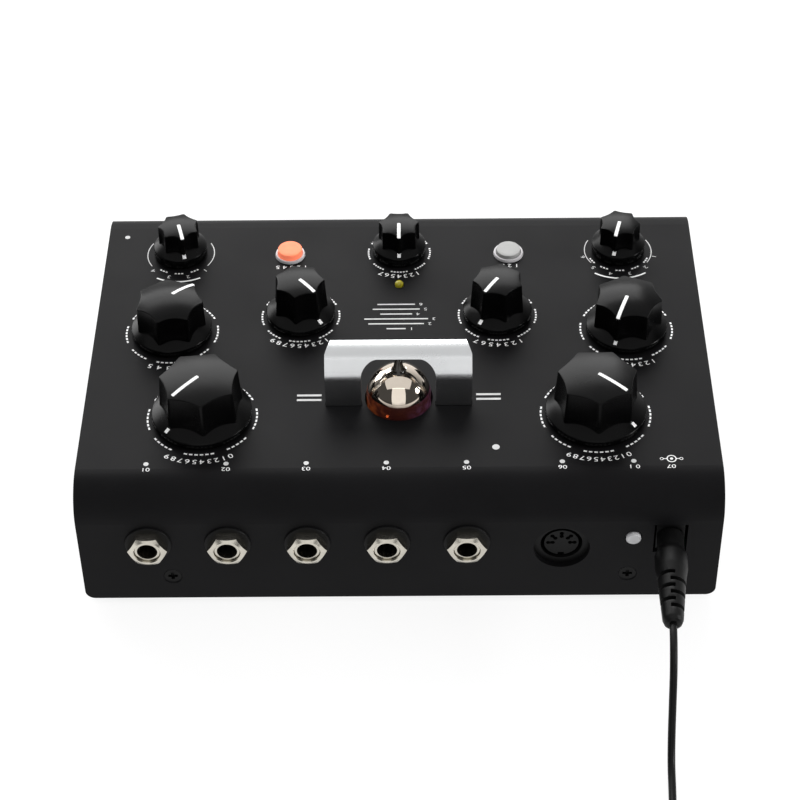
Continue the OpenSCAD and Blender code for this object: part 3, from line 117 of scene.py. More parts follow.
class DelayKnobSettings(bpy.types.PropertyGroup):
    """Form of the knobs"""

    ribs: IntProperty(
        name="Ribs", description="Ribs around a knob", min=5, max=9, default=7)
    edge: FloatProperty(
        name="Edge", description="Rounding of the knob's top edge", unit="LENGTH",
        min=0.0001, max=0.001, default=0.0003)
    pointer_width: FloatProperty(
        name="Pointer", description="Width of the white pointer", unit="LENGTH",
        min=0.0005, max=0.002, default=0.0012)
    skirt_edge: FloatProperty(
        name="Skirt edge", description="Rounding of the skirt's rim", unit="LENGTH",
        min=0.0001, max=0.001, default=0.0005)


class DelayStageSettings(bpy.types.PropertyGroup):
    """Camera, light and floor"""

    lens: FloatProperty(
        name="Lens", description="Focal length on a 36 mm frame", min=20, max=300, default=102.006)
    elevation: FloatProperty(
        name="Elevation", description="Camera angle above the horizon", subtype="ANGLE",
        min=0, max=1.57, default=math.radians(43.30))
    heading: FloatProperty(
        name="Heading", description="Camera angle about the vertical", subtype="ANGLE",
        min=-3.15, max=3.15, default=math.radians(0.71))
    roll: FloatProperty(
        name="Roll", description="Camera angle about its own axis", subtype="ANGLE",
        min=-0.2, max=0.2, default=math.radians(-0.893))
    key_power: FloatProperty(
        name="Back box", description="Power of the soft box behind the unit", unit="POWER",
        min=0, max=200, default=14.4)
    top_power: FloatProperty(
        name="Overhead", description="Power of the overhead light", unit="POWER",
        min=0, max=200, default=8.4)
    fill_power: FloatProperty(
        name="Side box", description="Power of the low light beside the back box", unit="POWER",
        min=0, max=100, default=6)
    card_power: FloatProperty(
        name="Front card", description="Power of the card above the camera", unit="POWER",
        min=0, max=100, default=4)
    glint_power: FloatProperty(
        name="Glint box", description="Power of the small light beside the camera", unit="POWER",
        min=0, max=100, default=6)
    floor: FloatVectorProperty(
        name="Floor", description="Colour of the floor", subtype="COLOR",
        size=3, min=0, max=1, default=(0.2, 0.2, 0.2))
    floor_glow: FloatProperty(
        name="Floor glow", description="Light of the floor itself, as on a lit table",
        min=0, max=2, default=0.86)


# Shader node groups that the finishes share

def new_group(name, inputs, outputs):
    tree = bpy.data.node_groups.new(name, "ShaderNodeTree")
    for label, kind, value in inputs:
        socket = tree.interface.new_socket(name=label, in_out="INPUT", socket_type=kind)
        socket.default_value = value
    for label, kind in outputs:
        tree.interface.new_socket(name=label, in_out="OUTPUT", socket_type=kind)
    return tree, tree.nodes.new("NodeGroupInput"), tree.nodes.new("NodeGroupOutput")


def give(tree, socket, value):
    """Sets a socket, or links it where the value is another node's output."""
    if isinstance(value, bpy.types.NodeSocket):
        tree.links.new(value, socket)
    else:
        socket.default_value = value


def feed(tree, node, **values):
    """Gives a node its inputs by name."""
    for label, value in values.items():
        give(tree, node.inputs[label.replace("_", " ")], value)
    return node


def object_place(tree):
    return tree.nodes.new("ShaderNodeTexCoord").outputs["Object"]


def along(tree, vector, axis):
    return feed(tree, tree.nodes.new("ShaderNodeSeparateXYZ"), Vector=vector).outputs[axis]


def noise(tree, vector, scale, detail, roughness=0.5):
    node = tree.nodes.new("ShaderNodeTexNoise")
    return feed(tree, node, Vector=vector, Scale=scale, Detail=detail, Roughness=roughness).outputs["Fac"]


def spread(tree, value, low, high, to_low, to_high):
    node = tree.nodes.new("ShaderNodeMapRange")
    feed(tree, node, Value=value, From_Min=low, From_Max=high, To_Min=to_low, To_Max=to_high)
    return node.outputs["Result"]


def calculate(tree, operation, *values):
    node = tree.nodes.new("ShaderNodeMath")
    node.operation = operation
    for socket, value in zip(node.inputs, values):
        give(tree, socket, value)
    return node.outputs["Value"]


def blend(tree, share, first, second, kind="RGBA"):
    node = tree.nodes.new("ShaderNodeMix")
    node.data_type = kind
    return feed(tree, node, Factor=share, A=first, B=second).outputs["Result"]


def make_grain():
    """Fine grain for bumps, as on powder coat, moulded plastic or rubber."""
    tree, into, out = new_group(
        "Fine grain",
        [("Scale", "NodeSocketFloat", 3000.0), ("Share", "NodeSocketFloat", 0.3)],
        [("Height", "NodeSocketFloat")])
    where = object_place(tree)
    fine = noise(tree, where, into.outputs["Scale"], 3.0, 0.6)
    coarse = noise(tree, where, 700.0, 2.0)
    feed(tree, out, Height=blend(tree, into.outputs["Share"], fine, coarse, "FLOAT"))
    return tree


def make_handling():
    """Slow drift of tone and gloss left by handling and dust."""
    tree, into, out = new_group(
        "Handling",
        [("Tone", "NodeSocketColor", (0.1, 0.1, 0.1, 1)),
         ("Second tone", "NodeSocketColor", (0.2, 0.2, 0.2, 1)), ("Scale", "NodeSocketFloat", 60.0),
         ("Gloss low", "NodeSocketFloat", 0.3), ("Gloss high", "NodeSocketFloat", 0.4)],
        [("Color", "NodeSocketColor"), ("Roughness", "NodeSocketFloat")])
    drift = noise(tree, object_place(tree), into.outputs["Scale"], 4.0, 0.55)
    share = spread(tree, drift, 0.35, 0.7, 0.0, 1.0)
    feed(tree, out, Color=blend(tree, share, into.outputs["Tone"], into.outputs["Second tone"]),
         Roughness=spread(tree, drift, 0.3, 0.7, into.outputs["Gloss low"], into.outputs["Gloss high"]))
    return tree


def make_brushing():
    """Lines of a brushed or turned metal, along one direction."""
    tree, into, out = new_group(
        "Brushing",
        [("Stretch", "NodeSocketVector", (1, 1, 1)), ("Scale", "NodeSocketFloat", 2500.0)],
        [("Height", "NodeSocketFloat")])
    pull = tree.nodes.new("ShaderNodeVectorMath")
    pull.operation = "MULTIPLY"
    tree.links.new(object_place(tree), pull.inputs[0])
    tree.links.new(into.outputs["Stretch"], pull.inputs[1])
    feed(tree, out, Height=noise(tree, pull.outputs["Vector"], into.outputs["Scale"], 2.0))
    return tree


GROUPS = {}


def placed_group(tree, name, **values):
    node = tree.nodes.new("ShaderNodeGroup")
    node.node_tree = GROUPS[name]
    return feed(tree, node, **values)


def opaque(tone):
    return (tone[0], tone[1], tone[2], 1.0)


def finish(name, tone, second, gloss, grain=3000.0, depth=0.00001, metallic=0.0, specular=0.5, drift=60.0,
           stretch=None):
    """A material with drifting tone and gloss over a fine grain, or over brushing where stretch is given."""
    material = bpy.data.materials.new(name)
    material.use_nodes = True
    tree = material.node_tree
    handling = placed_group(
        tree, "Handling", Tone=opaque(tone), Second_tone=opaque(second), Scale=drift,
        Gloss_low=gloss[0], Gloss_high=gloss[1])
    if stretch:
        relief = placed_group(tree, "Brushing", Stretch=stretch, Scale=grain)
    else:
        relief = placed_group(tree, "Fine grain", Scale=grain)
    bump = feed(tree, tree.nodes.new("ShaderNodeBump"), Strength=1.0, Distance=depth,
                Height=relief.outputs["Height"])
    return dress(material, Metallic=metallic, Specular_IOR_Level=specular,
                 Base_Color=handling.outputs["Color"], Roughness=handling.outputs["Roughness"],
                 Normal=bump.outputs["Normal"])


def dress(material, **values):
    """Gives a material's shader its inputs by name."""
    feed(material.node_tree, material.node_tree.nodes["Principled BSDF"], **values)
    return material


FINISHES = {}


def make_finishes(colours):
    """One material for each slot of the record, and those of the pieces that only the scene has."""
    def lift(tone, by):
        return tuple(min(1.0, c * by) for c in tone)

    coat, knob, plate = tuple(colours.coat), tuple(colours.knob), tuple(colours.plating)
    guard, paint = tuple(colours.guard), tuple(colours.print_paint)
    table = {
        "case_coat": finish("powder coat", coat, lift(coat, 1.35), (0.42, 0.50), 2600.0, 0.00002,
                            specular=0.06, drift=35.0),
        "screw_black": finish("blackened steel", (0.004, 0.004, 0.004), (0.008, 0.008, 0.008), (0.4, 0.5),
                              specular=0.1),
        "rubber": finish("foot rubber", (0.02, 0.02, 0.02), (0.03, 0.03, 0.03), (0.75, 0.9), 1800.0, 0.00004),
        "guard_metal": finish("satin guard", guard, lift(guard, 0.94), (0.22, 0.28), 2200.0, 0.000006,
                              metallic=1.0, stretch=(0.03, 1.0, 1.0)),
        "nickel": finish("nickel plate", plate, lift(plate, 0.9), (0.19, 0.27), 1800.0, 0.000004,
                         metallic=1.0, drift=300.0),
        "electrode": finish("carbonised metal", (0.06, 0.055, 0.05), (0.1, 0.09, 0.08), (0.5, 0.7),
                            metallic=0.6),
        "ceramic": finish("socket ceramic", (0.62, 0.58, 0.48), (0.7, 0.66, 0.56), (0.25, 0.4)),
        "pot_steel": finish("pressed steel", (0.42, 0.43, 0.42), (0.5, 0.5, 0.48), (0.35, 0.5), 2000.0,
                            0.000005, metallic=1.0, stretch=(1.0, 0.05, 1.0)),
        "knob_black": finish("moulded knob", knob, lift(knob, 1.3), (0.22, 0.28), 2400.0, 0.000005,
                             specular=0.1, drift=90.0),
        "shaft_metal": finish("turned shaft", (0.5, 0.5, 0.48), (0.58, 0.57, 0.55), (0.3, 0.4), 2000.0,
                              0.000005, metallic=1.0, stretch=(1.0, 1.0, 0.05)),
        "button_ring": finish("satin ring", (0.60, 0.585, 0.60), (0.55, 0.535, 0.55), (0.4, 0.5), 1800.0,
                              0.000004),
        "bypass_cap": finish("lit cap", (0.80, 0.20, 0.095), (0.85, 0.25, 0.115), (0.3, 0.4), 1500.0,
                             0.000006, specular=0.12, drift=250.0),
        "tap_cap": finish("grey cap", (0.375, 0.375, 0.37), (0.42, 0.42, 0.41), (0.3, 0.4), 1500.0, 0.000006,
                          specular=0.12, drift=250.0),
        "power_cap": finish("power cap", (0.5, 0.5, 0.51), (0.56, 0.56, 0.57), (0.3, 0.42), 1500.0, 0.000006,
                            drift=250.0),
        "lamp_lens": finish("lamp lens", (0.48, 0.42, 0.02), (0.58, 0.5, 0.03), (0.15, 0.25), 1500.0,
                            0.000004, drift=400.0),
        "black_plastic": finish("black plastic", (0.004, 0.004, 0.0042), (0.006, 0.006, 0.006), (0.4, 0.5),
                                2200.0, specular=0.12),
        "cord_skin": finish("lead skin", (0.003, 0.003, 0.0032), (0.005, 0.005, 0.005), (0.38, 0.5), 1800.0,
                            specular=0.16, drift=120.0),
        "board": finish("solder mask", (0.015, 0.09, 0.045), (0.02, 0.12, 0.06), (0.25, 0.4), 900.0),
        "pillar_brass": finish("plain brass", (0.62, 0.45, 0.18), (0.55, 0.4, 0.16), (0.3, 0.42), 1800.0,
                               0.000005, metallic=1.0),
        "capacitor": finish("can sleeve", (0.015, 0.02, 0.08), (0.02, 0.03, 0.1), (0.25, 0.35)),
        "print": finish("panel print", paint, lift(paint, 0.92), (0.45, 0.6), 3000.0, 0.000006, drift=300.0),
        "grey_print": finish("grey panel print", lift(paint, 0.7), lift(paint, 0.62), (0.45, 0.6), 3000.0,
                             0.000006, drift=300.0),
        "dark_tip": finish("dark glass tip", (0.012, 0.01, 0.008), (0.03, 0.025, 0.018), (0.08, 0.15), 900.0,
                           0.000002, drift=300.0),
    }
    dress(table["bypass_cap"], Emission_Color=opaque(colours.lit_cap), Emission_Strength=0.55)
    dress(table["lamp_lens"], Transmission_Weight=0.25)
    table["valve_glass"] = amber_glass()
    table["clear_glass"] = clear_glass()
    table["mirror"] = getter_mirror()
    table["heater"] = heater_glow()
    FINISHES.update(table)


def amber_glass():
    material = finish("amber glass", (0.07, 0.02, 0.01), (0.035, 0.012, 0.02), (0.04, 0.09), 400.0, 0.000003,
                      drift=120.0)
    # Painted light in the glass's foot: a faint red painted glow all round, an orange painted glow standing
    # for the heater's light on one side, and a violet painted reflection on the other
    tree = material.node_tree
    where = object_place(tree)
    patches = noise(tree, where, 420.0, 3.0)
    painted_light = (0.008, 0.0012, 0.001, 1)
    for reach, painted_light_tone in ((0.011, (0.1, 0.024, 0.006, 1)), (-0.011, (0.045, 0.018, 0.04, 1))):
        near = spread(tree, along(tree, where, "X"), reach * 0.2, reach, 0.0, 1.0)
        painted_share = calculate(tree, "MULTIPLY", near, spread(tree, patches, 0.4, 0.62, 0.15, 1.0))
        painted_light = blend(tree, painted_share, painted_light, painted_light_tone)
    # The glass's emission is painted light and painted reflection, not a lamp
    return dress(material, Transmission_Weight=0.55, IOR=1.48, Emission_Color=painted_light, Emission_Strength=1.0)


def clear_glass():
    material = finish("pressed glass", (0.6, 0.64, 0.63), (0.55, 0.6, 0.58), (0.08, 0.15), 500.0, 0.000003)
    return dress(material, Transmission_Weight=0.7, IOR=1.5)


def getter_mirror():
    """Silver film inside the dome, turning brown towards its lower rim."""
    material = finish("getter mirror", (0.80, 0.71, 0.61), (0.74, 0.65, 0.55), (0.03, 0.07), 500.0, 0.000001,
                      metallic=1.0, drift=150.0)
    tree = material.node_tree
    handling = tree.nodes["Principled BSDF"].inputs["Base Color"].links[0].from_socket
    where = object_place(tree)
    ragged = noise(tree, where, 260.0, 3.0)
    height = calculate(tree, "MULTIPLY_ADD", ragged, 1.6 * MM, along(tree, where, "Z"))
    film = spread(tree, height, PANEL_Z + 5.0 * MM, PANEL_Z + 7.2 * MM, 0.0, 1.0)
    return dress(material, Base_Color=blend(tree, film, (0.035, 0.012, 0.006, 1), handling))


def heater_glow():
    material = finish("heater glow", (0.9, 0.3, 0.05), (1.0, 0.4, 0.08), (0.4, 0.5), drift=400.0)
    return dress(material, Emission_Color=(1.0, 0.55, 0.12, 1), Emission_Strength=40.0)


# Mesh makers

def polar(radius, turn):
    return radius * math.cos(turn), radius * math.sin(turn)


def add_object(name, mesh, body, slot, materials=None, angle=35, node=None):
    """A piece that rides with its body, and stands for a CAD node where one is given."""
    for material in materials or [slot]:
        mesh.materials.append(FINISHES[material])
    mesh.shade_smooth()
    mesh.set_sharp_from_angle(angle=math.radians(angle))
    piece = bpy.data.objects.new(name, mesh)
    bpy.context.scene.collection.objects.link(piece)
    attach(piece, body)
    if node:
        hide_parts(node)
    return piece


def mesh_from(name, build):
    """A mesh filled by build(bm), with welded points and faces turned outwards."""
    bm = bmesh.new()
    build(bm)
    bmesh.ops.remove_doubles(bm, verts=bm.verts, dist=1e-7)
    bmesh.ops.recalc_face_normals(bm, faces=bm.faces)
    mesh = bpy.data.meshes.new(name)
    bm.to_mesh(mesh)
    bm.free()
    return mesh


def rings_to_faces(bm, rings, material=0):
    """Skins neighbouring rings of points; a ring of one point closes to a tip."""
    made = [[bm.verts.new(p) for p in ring] for ring in rings]
    for lower, upper in zip(made, made[1:]):
        n = max(len(lower), len(upper))
        for i in range(n):
            j = (i + 1) % n
            corners = [lower[i % len(lower)], lower[j % len(lower)]]
            corners += [upper[j % len(upper)], upper[i % len(upper)]]
            face = bm.faces.new([v for k, v in enumerate(corners) if v not in corners[:k]])
            face.material_index = material


def turned(bm, profile, centre, steps):
    """Revolves (radius, height) pairs about a vertical axis through centre."""
    rings = []
    for radius, height in profile:
        turns = [2 * math.pi * i / steps for i in range(steps if radius > 1e-7 else 1)]
        rings.append([centre + Vector((*polar(radius, t), height)) for t in turns])
    rings_to_faces(bm, rings)


def arc(centre_r, centre_z, radius, start, end, steps):
    """Points along an arc of a turned profile, its start and end in degrees."""
    turns = [math.radians(start + (end - start) * i / steps) for i in range(steps + 1)]
    return [(centre_r + r, centre_z + z) for r, z in (polar(radius, t) for t in turns)]


HARD_EDGE = math.radians(30)


def eased_copy(node, body, slot, width, segments=2):
    """Copy of a CAD node with its hard edges rounded, standing for that node."""
    mesh = NODES[node].data.copy()
    mesh.materials.clear()
    bm = bmesh.new()
    bm.from_mesh(mesh)
    bmesh.ops.remove_doubles(bm, verts=bm.verts, dist=2e-7)
    bmesh.ops.dissolve_limit(bm, angle_limit=math.radians(0.5), verts=bm.verts, edges=bm.edges)
    hard = [e for e in bm.edges if len(e.link_faces) == 2 and e.calc_face_angle() > HARD_EDGE]
    bmesh.ops.bevel(bm, geom=hard, offset=width, offset_type="OFFSET", segments=segments, profile=0.5,
                    affect="EDGES", clamp_overlap=True)
    bm.to_mesh(mesh)
    bm.free()
    piece = add_object(node + "_eased", mesh, body, slot, node=node)
    even = piece.modifiers.new("even normals", "WEIGHTED_NORMAL")
    even.weight = 100
    even.keep_sharp = True
    return piece


class DelayOperator:
    """What the unit's operators share"""

    bl_options = {"REGISTER", "UNDO"}


# Supply lead

LEAD_D = 0.0024
# Route and coil in mm, as in the CAD source
LEAD_ROUTE = [
    (-83.94, 106.74, 29.6), (-83.7, 110.95, 29.4), (-83.45, 115.75, 28.0), (-83.25, 120.55, 24.6),
    (-83.1, 124.35, 19.8), (-82.95, 128.15, 14.2), (-82.8, 131.95, 8.9), (-82.65, 135.95, 4.8),
    (-82.45, 140.75, 2.3), (-82.2, 146.75, 1.45), (-81.8, 153.25, 1.3), (-81.2, 159.75, 1.4),
    (-80.5, 166.75, 1.7), (-80.1, 172.75, 2.05), (-79.925, 177.75, 2.2), (-79.925, 182.35, 2.2),
]
COIL_AT = (-62.0, 184.75)
COIL_LOW = 2.2
COIL_PITCH = 2.95
COIL_OUT = 17.925
COIL_LAYERS = 4
LAYER_TURNS = 3.0
CLIMB_TURNS = 0.5
END_TURNS = 0.75
RINGS_PER_LOOP = 48
# Strap round the coil in mm: where it crosses, its section, its lap and the gaps under it
TIE_TURN = 0.75
TIE_W = 5.0
TIE_T = 0.6
TIE_EDGE = 0.15
TIE_LAP = 6.0
TIE_GAP = 0.1
LAP_GAP = 0.05
TIE_STEPS = 24


def coil_point(turn):
    """The coil's own line: spirals in and out, climbing a layer where the spiral reverses."""
    span = LAYER_TURNS + CLIMB_TURNS
    layer = min(int(turn / span + 1e-9), COIL_LAYERS - 1)
    done = turn - layer * span
    past = done - LAYER_TURNS
    last = layer == COIL_LAYERS - 1
    along = done if last or past < CLIMB_TURNS / 2 else LAYER_TURNS + CLIMB_TURNS - past
    inward = along if layer % 2 == 0 else LAYER_TURNS - along
    s = 0.0 if last else max(0.0, past / CLIMB_TURNS)
    rise = layer + s * s * (3 - 2 * s)
    radius = COIL_OUT - inward * COIL_PITCH
    x, y = polar(radius, math.radians(180 - 360 * turn))
    return (COIL_AT[0] + x, COIL_AT[1] + y, COIL_LOW + COIL_PITCH * rise)


def smooth_route(points, steps=6):
    """A smooth line through the route's points."""
    out = []
    for i in range(len(points) - 1):
        a, b, c, d = (Vector(points[max(0, min(len(points) - 1, i + k))]) for k in (-1, 0, 1, 2))
        for k in range(steps):
            t = k / steps
            square, cube = 2 * a - 5 * b + 4 * c - d, 3 * b - a - 3 * c + d
            out.append(0.5 * (2 * b + (c - a) * t + square * t * t + cube * t ** 3))
    return out + [Vector(points[-1])]


class DELAYUNIT_OT_lead(DelayOperator, bpy.types.Operator):
    """Lay the supply lead, with its coil, tie, plug and adapter"""

    bl_idname = "delay_unit.lead"
    bl_label = "Supply lead"

    def execute(self, context):
        turns = COIL_LAYERS * LAYER_TURNS + (COIL_LAYERS - 1) * CLIMB_TURNS + END_TURNS
        count = round(turns * RINGS_PER_LOOP)
        coil = [Vector(coil_point(i / RINGS_PER_LOOP)) for i in range(count + 1)]
        end = coil[-1] + Vector((COIL_OUT + 2 * LEAD_D / MM, 0, 0))
        tail = [coil[-1].lerp(end, share) for share in (0.25, 0.5, 0.75, 1)]
        line = [p * MM for p in smooth_route(LEAD_ROUTE) + coil + tail]
        curve = bpy.data.curves.new("supply_lead", "CURVE")
        curve.dimensions = "3D"
        curve.bevel_depth = LEAD_D / 2
        curve.bevel_resolution = 3
        curve.use_fill_caps = True
        spline = curve.splines.new("POLY")
        spline.points.add(len(line) - 1)
        for point, place in zip(spline.points, line):
            point.co = (place.x, place.y, place.z, 1)
        spline.use_smooth = True
        curve.materials.append(FINISHES["cord_skin"])
        lead = bpy.data.objects.new("supply_lead", curve)
        context.scene.collection.objects.link(lead)
        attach(lead, "case")
        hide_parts("power_cord", "cord_coil")
        tie = self.add_tie(turns)
        adapter = eased_copy("power_adapter", "case", "black_plastic", 0.5 * MM)
        eased_copy("dc_plug", "case", "cord_skin", 0.3 * MM)
        return {"FINISHED"}

    def add_tie(self, turns):
        """Strap pulled tight round the coil's strands, its end lapped over its start."""
        strands = [coil_point(TIE_TURN + k) for k in range(int(turns - TIE_TURN) + 1)]
        around = [2 * math.pi * k / TIE_STEPS for k in range(TIE_STEPS)]
        spots = [(Vector((y, z)), turn) for _, y, z in strands for turn in around]
        skin = LEAD_D / MM / 2 + TIE_GAP

        def at(spot, reach):
            return spot[0] + Vector((math.cos(spot[1]), math.sin(spot[1]))) * reach

        loop = [spots[i] for i in convex_hull_2d([at(spot, skin) for spot in spots])]
        if sum(at(a, skin).cross(at(b, skin)) for a, b in zip(loop, loop[1:] + loop[:1])) < 0:
            loop.reverse()
        first = max(range(len(loop)), key=lambda i: at(loop[i], skin).y - at(loop[i], skin).x)
        loop = loop[first:] + loop[:first]
        lap, done = [loop[0]], 0.0
        for a, b in zip(loop, loop[1:]):
            if done < TIE_LAP:
                lap.append(b)
                done += (at(b, skin) - at(a, skin)).length
        wide, edge = TIE_W / 2, TIE_EDGE
        section = [(edge - wide, 0), (wide - edge, 0), (wide, edge), (wide, TIE_T - edge),
                   (wide - edge, TIE_T), (edge - wide, TIE_T), (-wide, TIE_T - edge), (-wide, edge)]

        def build(bm):
            rows = [(spot, skin) for spot in loop] + [(spot, skin + TIE_T + LAP_GAP) for spot in lap]
            rings = [[Vector((COIL_AT[0] + x, *at(spot, reach + out))) * MM for x, out in section]
                     for spot, reach in rows]
            ends = [[sum(ring, Vector()) / len(section)] for ring in (rings[0], rings[-1])]
            rings_to_faces(bm, ends[:1] + rings + ends[1:])

        mesh = mesh_from("cord_tie", build)
        return add_object("cord_tie_lapped", mesh, "case", "cord_skin", angle=30, node="cord_tie")


# Camera, lights and floor

CAMERA_AT = Vector((-7.04, 566.9, 556.6)) * MM
CAMERA_SENSOR = 36
FLOOR_HALF = 8.0
# Light: place, aim, width and height in m, setting with its power
LIGHTS = {
    "back_box": ((0.16, -1.0, 0.86), (0, 0, 0.03), 1.2, 0.7, "key_power"),
    "overhead": ((0.05, 0, 1.3), (0.05, 0, 0), 2.4, 1.5, "top_power"),
    "side_box": ((0.95, -0.9, 0.42), (0, 0, 0.03), 0.6, 0.55, "fill_power"),
    "front_card": ((0, 0.95, 0.62), (0, 0, 0.05), 1.0, 1.3, "card_power"),
    "glint_box": ((-1.05, 0.2, 0.42), (0, 0, 0.05), 0.2, 0.24, "glint_power"),
}


class DELAYUNIT_OT_stage(DelayOperator, bpy.types.Operator):
    """Set up the camera, the soft studio light and the pale floor"""

    bl_idname = "delay_unit.stage"
    bl_label = "Studio"

    def execute(self, context):
        settings = context.scene.delay_stage
        self.add_camera(context, settings)
        self.add_floor(context, settings)
        self.add_lights(context, settings)
        self.add_world(context)
        context.scene.view_settings.view_transform = "Standard"
        return {"FINISHED"}

    def add_camera(self, context, settings):
        heading, elevation, roll = settings.heading, settings.elevation, settings.roll
        level = Vector((math.sin(heading), -math.cos(heading), 0)) * math.cos(elevation)
        ahead = level - Vector((0, 0, math.sin(elevation)))
        right = ahead.cross(Vector((0, 0, 1))).normalized()
        up = right.cross(ahead)
        across = right * math.cos(roll) + up * math.sin(roll)
        above = up * math.cos(roll) - right * math.sin(roll)
        camera = bpy.data.objects.new("camera", bpy.data.cameras.new("camera"))
        camera.data.sensor_width = CAMERA_SENSOR
        camera.data.lens = settings.lens
        camera.data.clip_end = 20
        turn = Matrix((across, above, -ahead)).transposed().to_4x4()
        camera.matrix_world = Matrix.Translation(CAMERA_AT + Vector((0, MIDDLE_Y, 0))) @ turn
        context.scene.collection.objects.link(camera)
        context.scene.camera = camera

    def add_floor(self, context, settings):
        def build(bm):
            bmesh.ops.create_grid(bm, x_segments=2, y_segments=2, size=FLOOR_HALF)

        mesh = mesh_from("floor", build)
        tone = tuple(settings.floor)
        material = finish("studio floor", tone, tuple(c * 0.985 for c in tone), (0.7, 0.8), 400.0,
                          specular=0.1, drift=3.0)
        dress(material, Emission_Color=(1, 1, 1, 1), Emission_Strength=settings.floor_glow)
        mesh.materials.append(material)
        floor = bpy.data.objects.new("floor", mesh)
        context.scene.collection.objects.link(floor)

    def add_lights(self, context, settings):
        for name, (place, aim, width, height, power) in LIGHTS.items():
            data = bpy.data.lights.new(name, "AREA")
            data.shape = "RECTANGLE"
            data.size, data.size_y, data.energy = width, height, getattr(settings, power)
            lamp = bpy.data.objects.new(name, data)
            lamp.location = place
            lamp.rotation_euler = (Vector(aim) - Vector(place)).to_track_quat("-Z", "Y").to_euler()
            context.scene.collection.objects.link(lamp)

    def add_world(self, context):
        """Pale wall behind the unit, dark room on the camera's side."""
        world = bpy.data.worlds.new("studio")
        world.use_nodes = True
        tree = world.node_tree
        place = tree.nodes.new("ShaderNodeTexCoord").outputs["Generated"]
        wall = spread(tree, along(tree, place, "Y"), -0.95, -0.3, 1.0, 0.07)
        feed(tree, tree.nodes["Background"], Color=wall)
        context.scene.world = world


# Finishes of the CAD pieces

class DELAYUNIT_OT_finishes(DelayOperator, bpy.types.Operator):
    """Make the finishes and give every CAD piece its own"""

    bl_idname = "delay_unit.finishes"
    bl_label = "Finishes"

    def execute(self, context):
        GROUPS.update({"Fine grain": make_grain(), "Handling": make_handling(), "Brushing": make_brushing()})
        make_finishes(context.scene.delay_finish)
        for row in frame["record"]["subparts"]:
            mesh = NODES[row["node"]].data
            mesh.materials.clear()
            mesh.materials.append(FINISHES[row["material_slot"]])
        return {"FINISHED"}


# Printed marks

PRINT_LIFT = 0.00004
# Knob: radius of the figures or arc in the place of its name in mm, half its span in degrees, its figures
DIAL_FIGURES = {
    "cutoff": (20.8, 29, "0123456789"),
    "time": (20.8, 27, "0123456789"),
    "drive": (17.9, 20, "12345"),
    "feedback": (17.9, 26, "12345678"),
    "resonance": (15.2, 36, "123456789"),
    "mix": (15.3, 29, "1234567"),
    "filter_mode": (15.0, 30, "1234"),
    "level": (12.9, 29, "1234567"),
    "delay_mode": (14.9, 36, "123456"),
}
LINE_W = 0.6 * MM
# In mm from the middle of the panel: sockets and buttons with their figures, polarity sign, other dots with
# their radius, first row of the legend, its step and half widths
SOCKETS = ((80.1, "01"), (54.7, "02"), (29.3, "03"), (3.9, "04"), (-21.5, "05"), (-51.8, "06"),
           (-74.4, "0 1"))
SOCKET_Y = 58.2
BUTTONS = ((37.4, "1 2 3 4 5"), (-38.4, "1 2 3"))
BUTTON_Y = -38.4
POLARITY_AT = (-86.4, 57.3)
PLAIN_DOTS = ((96.0, -55.4, 0.9), (-31.0, 51.5, 1.2))
LEGEND_Y, LEGEND_STEP = -5.7, 2.5
LEGEND_ROWS = (4.2, 10.4, 11.8, 6.4, 9.0, 7.4)
# Type size for a figure's height, and its widening
TYPE_SIZE, TYPE_WIDE = 1.4, 1.3


def flat_polygon(bm, points, z, material=0):
    face = bm.faces.new([bm.verts.new((x, y, z)) for x, y in points])
    face.material_index = material


def dash(bm, centre, radius, angle, length, width, z):
    """One printed dash across a radius."""
    out = Vector(polar(1, angle))
    painted_light_tone = Vector((-out.y, out.x))
    middle = Vector(centre) + out * radius
    corners = ((-1, -1), (1, -1), (1, 1), (-1, 1))
    flat_polygon(bm, [middle + painted_light_tone * a * length / 2 + out * b * width / 2 for a, b in corners], z)


def on_circle(centre, radius, degrees):
    x, y = polar(radius, math.radians(degrees))
    return (centre[0] + x, centre[1] + y)


def disc(bm, centre, radius, z, material=0, steps=24):
    flat_polygon(bm, [on_circle(centre, radius, 360 * i / steps) for i in range(steps)], z, material)


def arc_line(bm, centre, radius, start, end, width, z, material=0, steps=24):
    inner, outer = radius - width / 2, radius + width / 2
    for i in range(steps):
        a, b = (start + (end - start) * k / steps for k in (i, i + 1))
        corners = ((inner, a), (outer, a), (outer, b), (inner, b))
        flat_polygon(bm, [on_circle(centre, r, t) for r, t in corners], z, material)


def bar(bm, ends, y, width, z, material=0):
    """One printed bar along X."""
    (left, right), low, high = sorted(ends), y - width / 2, y + width / 2
    flat_polygon(bm, [(left, low), (right, low), (right, high), (left, high)], z, material)


def numeral(bm, text, centre, height, z, turn=0.0, material=0):
    """Flat figures in a wide face, read from the user's side."""
    curve = bpy.data.curves.new("figure", "FONT")
    curve.body = text
    curve.size = height * TYPE_SIZE
    curve.align_x = "CENTER"
    curve.align_y = "CENTER"
    holder = bpy.data.objects.new("figure", curve)
    bpy.context.scene.collection.objects.link(holder)
    bpy.context.view_layer.update()
    mesh = bpy.data.meshes.new_from_object(holder.evaluated_get(bpy.context.evaluated_depsgraph_get()))
    mesh.transform(Matrix.Translation((centre[0], centre[1], z)) @ Matrix.Rotation(turn, 4, "Z")
                   @ Matrix.Diagonal((TYPE_WIDE, 1.0, 1.0, 1.0)))
    known = len(bm.faces)
    bm.from_mesh(mesh)
    bm.faces.ensure_lookup_table()
    for face in bm.faces[known:]:
        face.material_index = material
    bpy.data.objects.remove(holder)
    bpy.data.curves.remove(curve)
    bpy.data.meshes.remove(mesh)


def knob_centre(name):
    low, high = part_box("shaft_" + name)
    return ((low.x + high.x) / 2, (low.y + high.y) / 2)


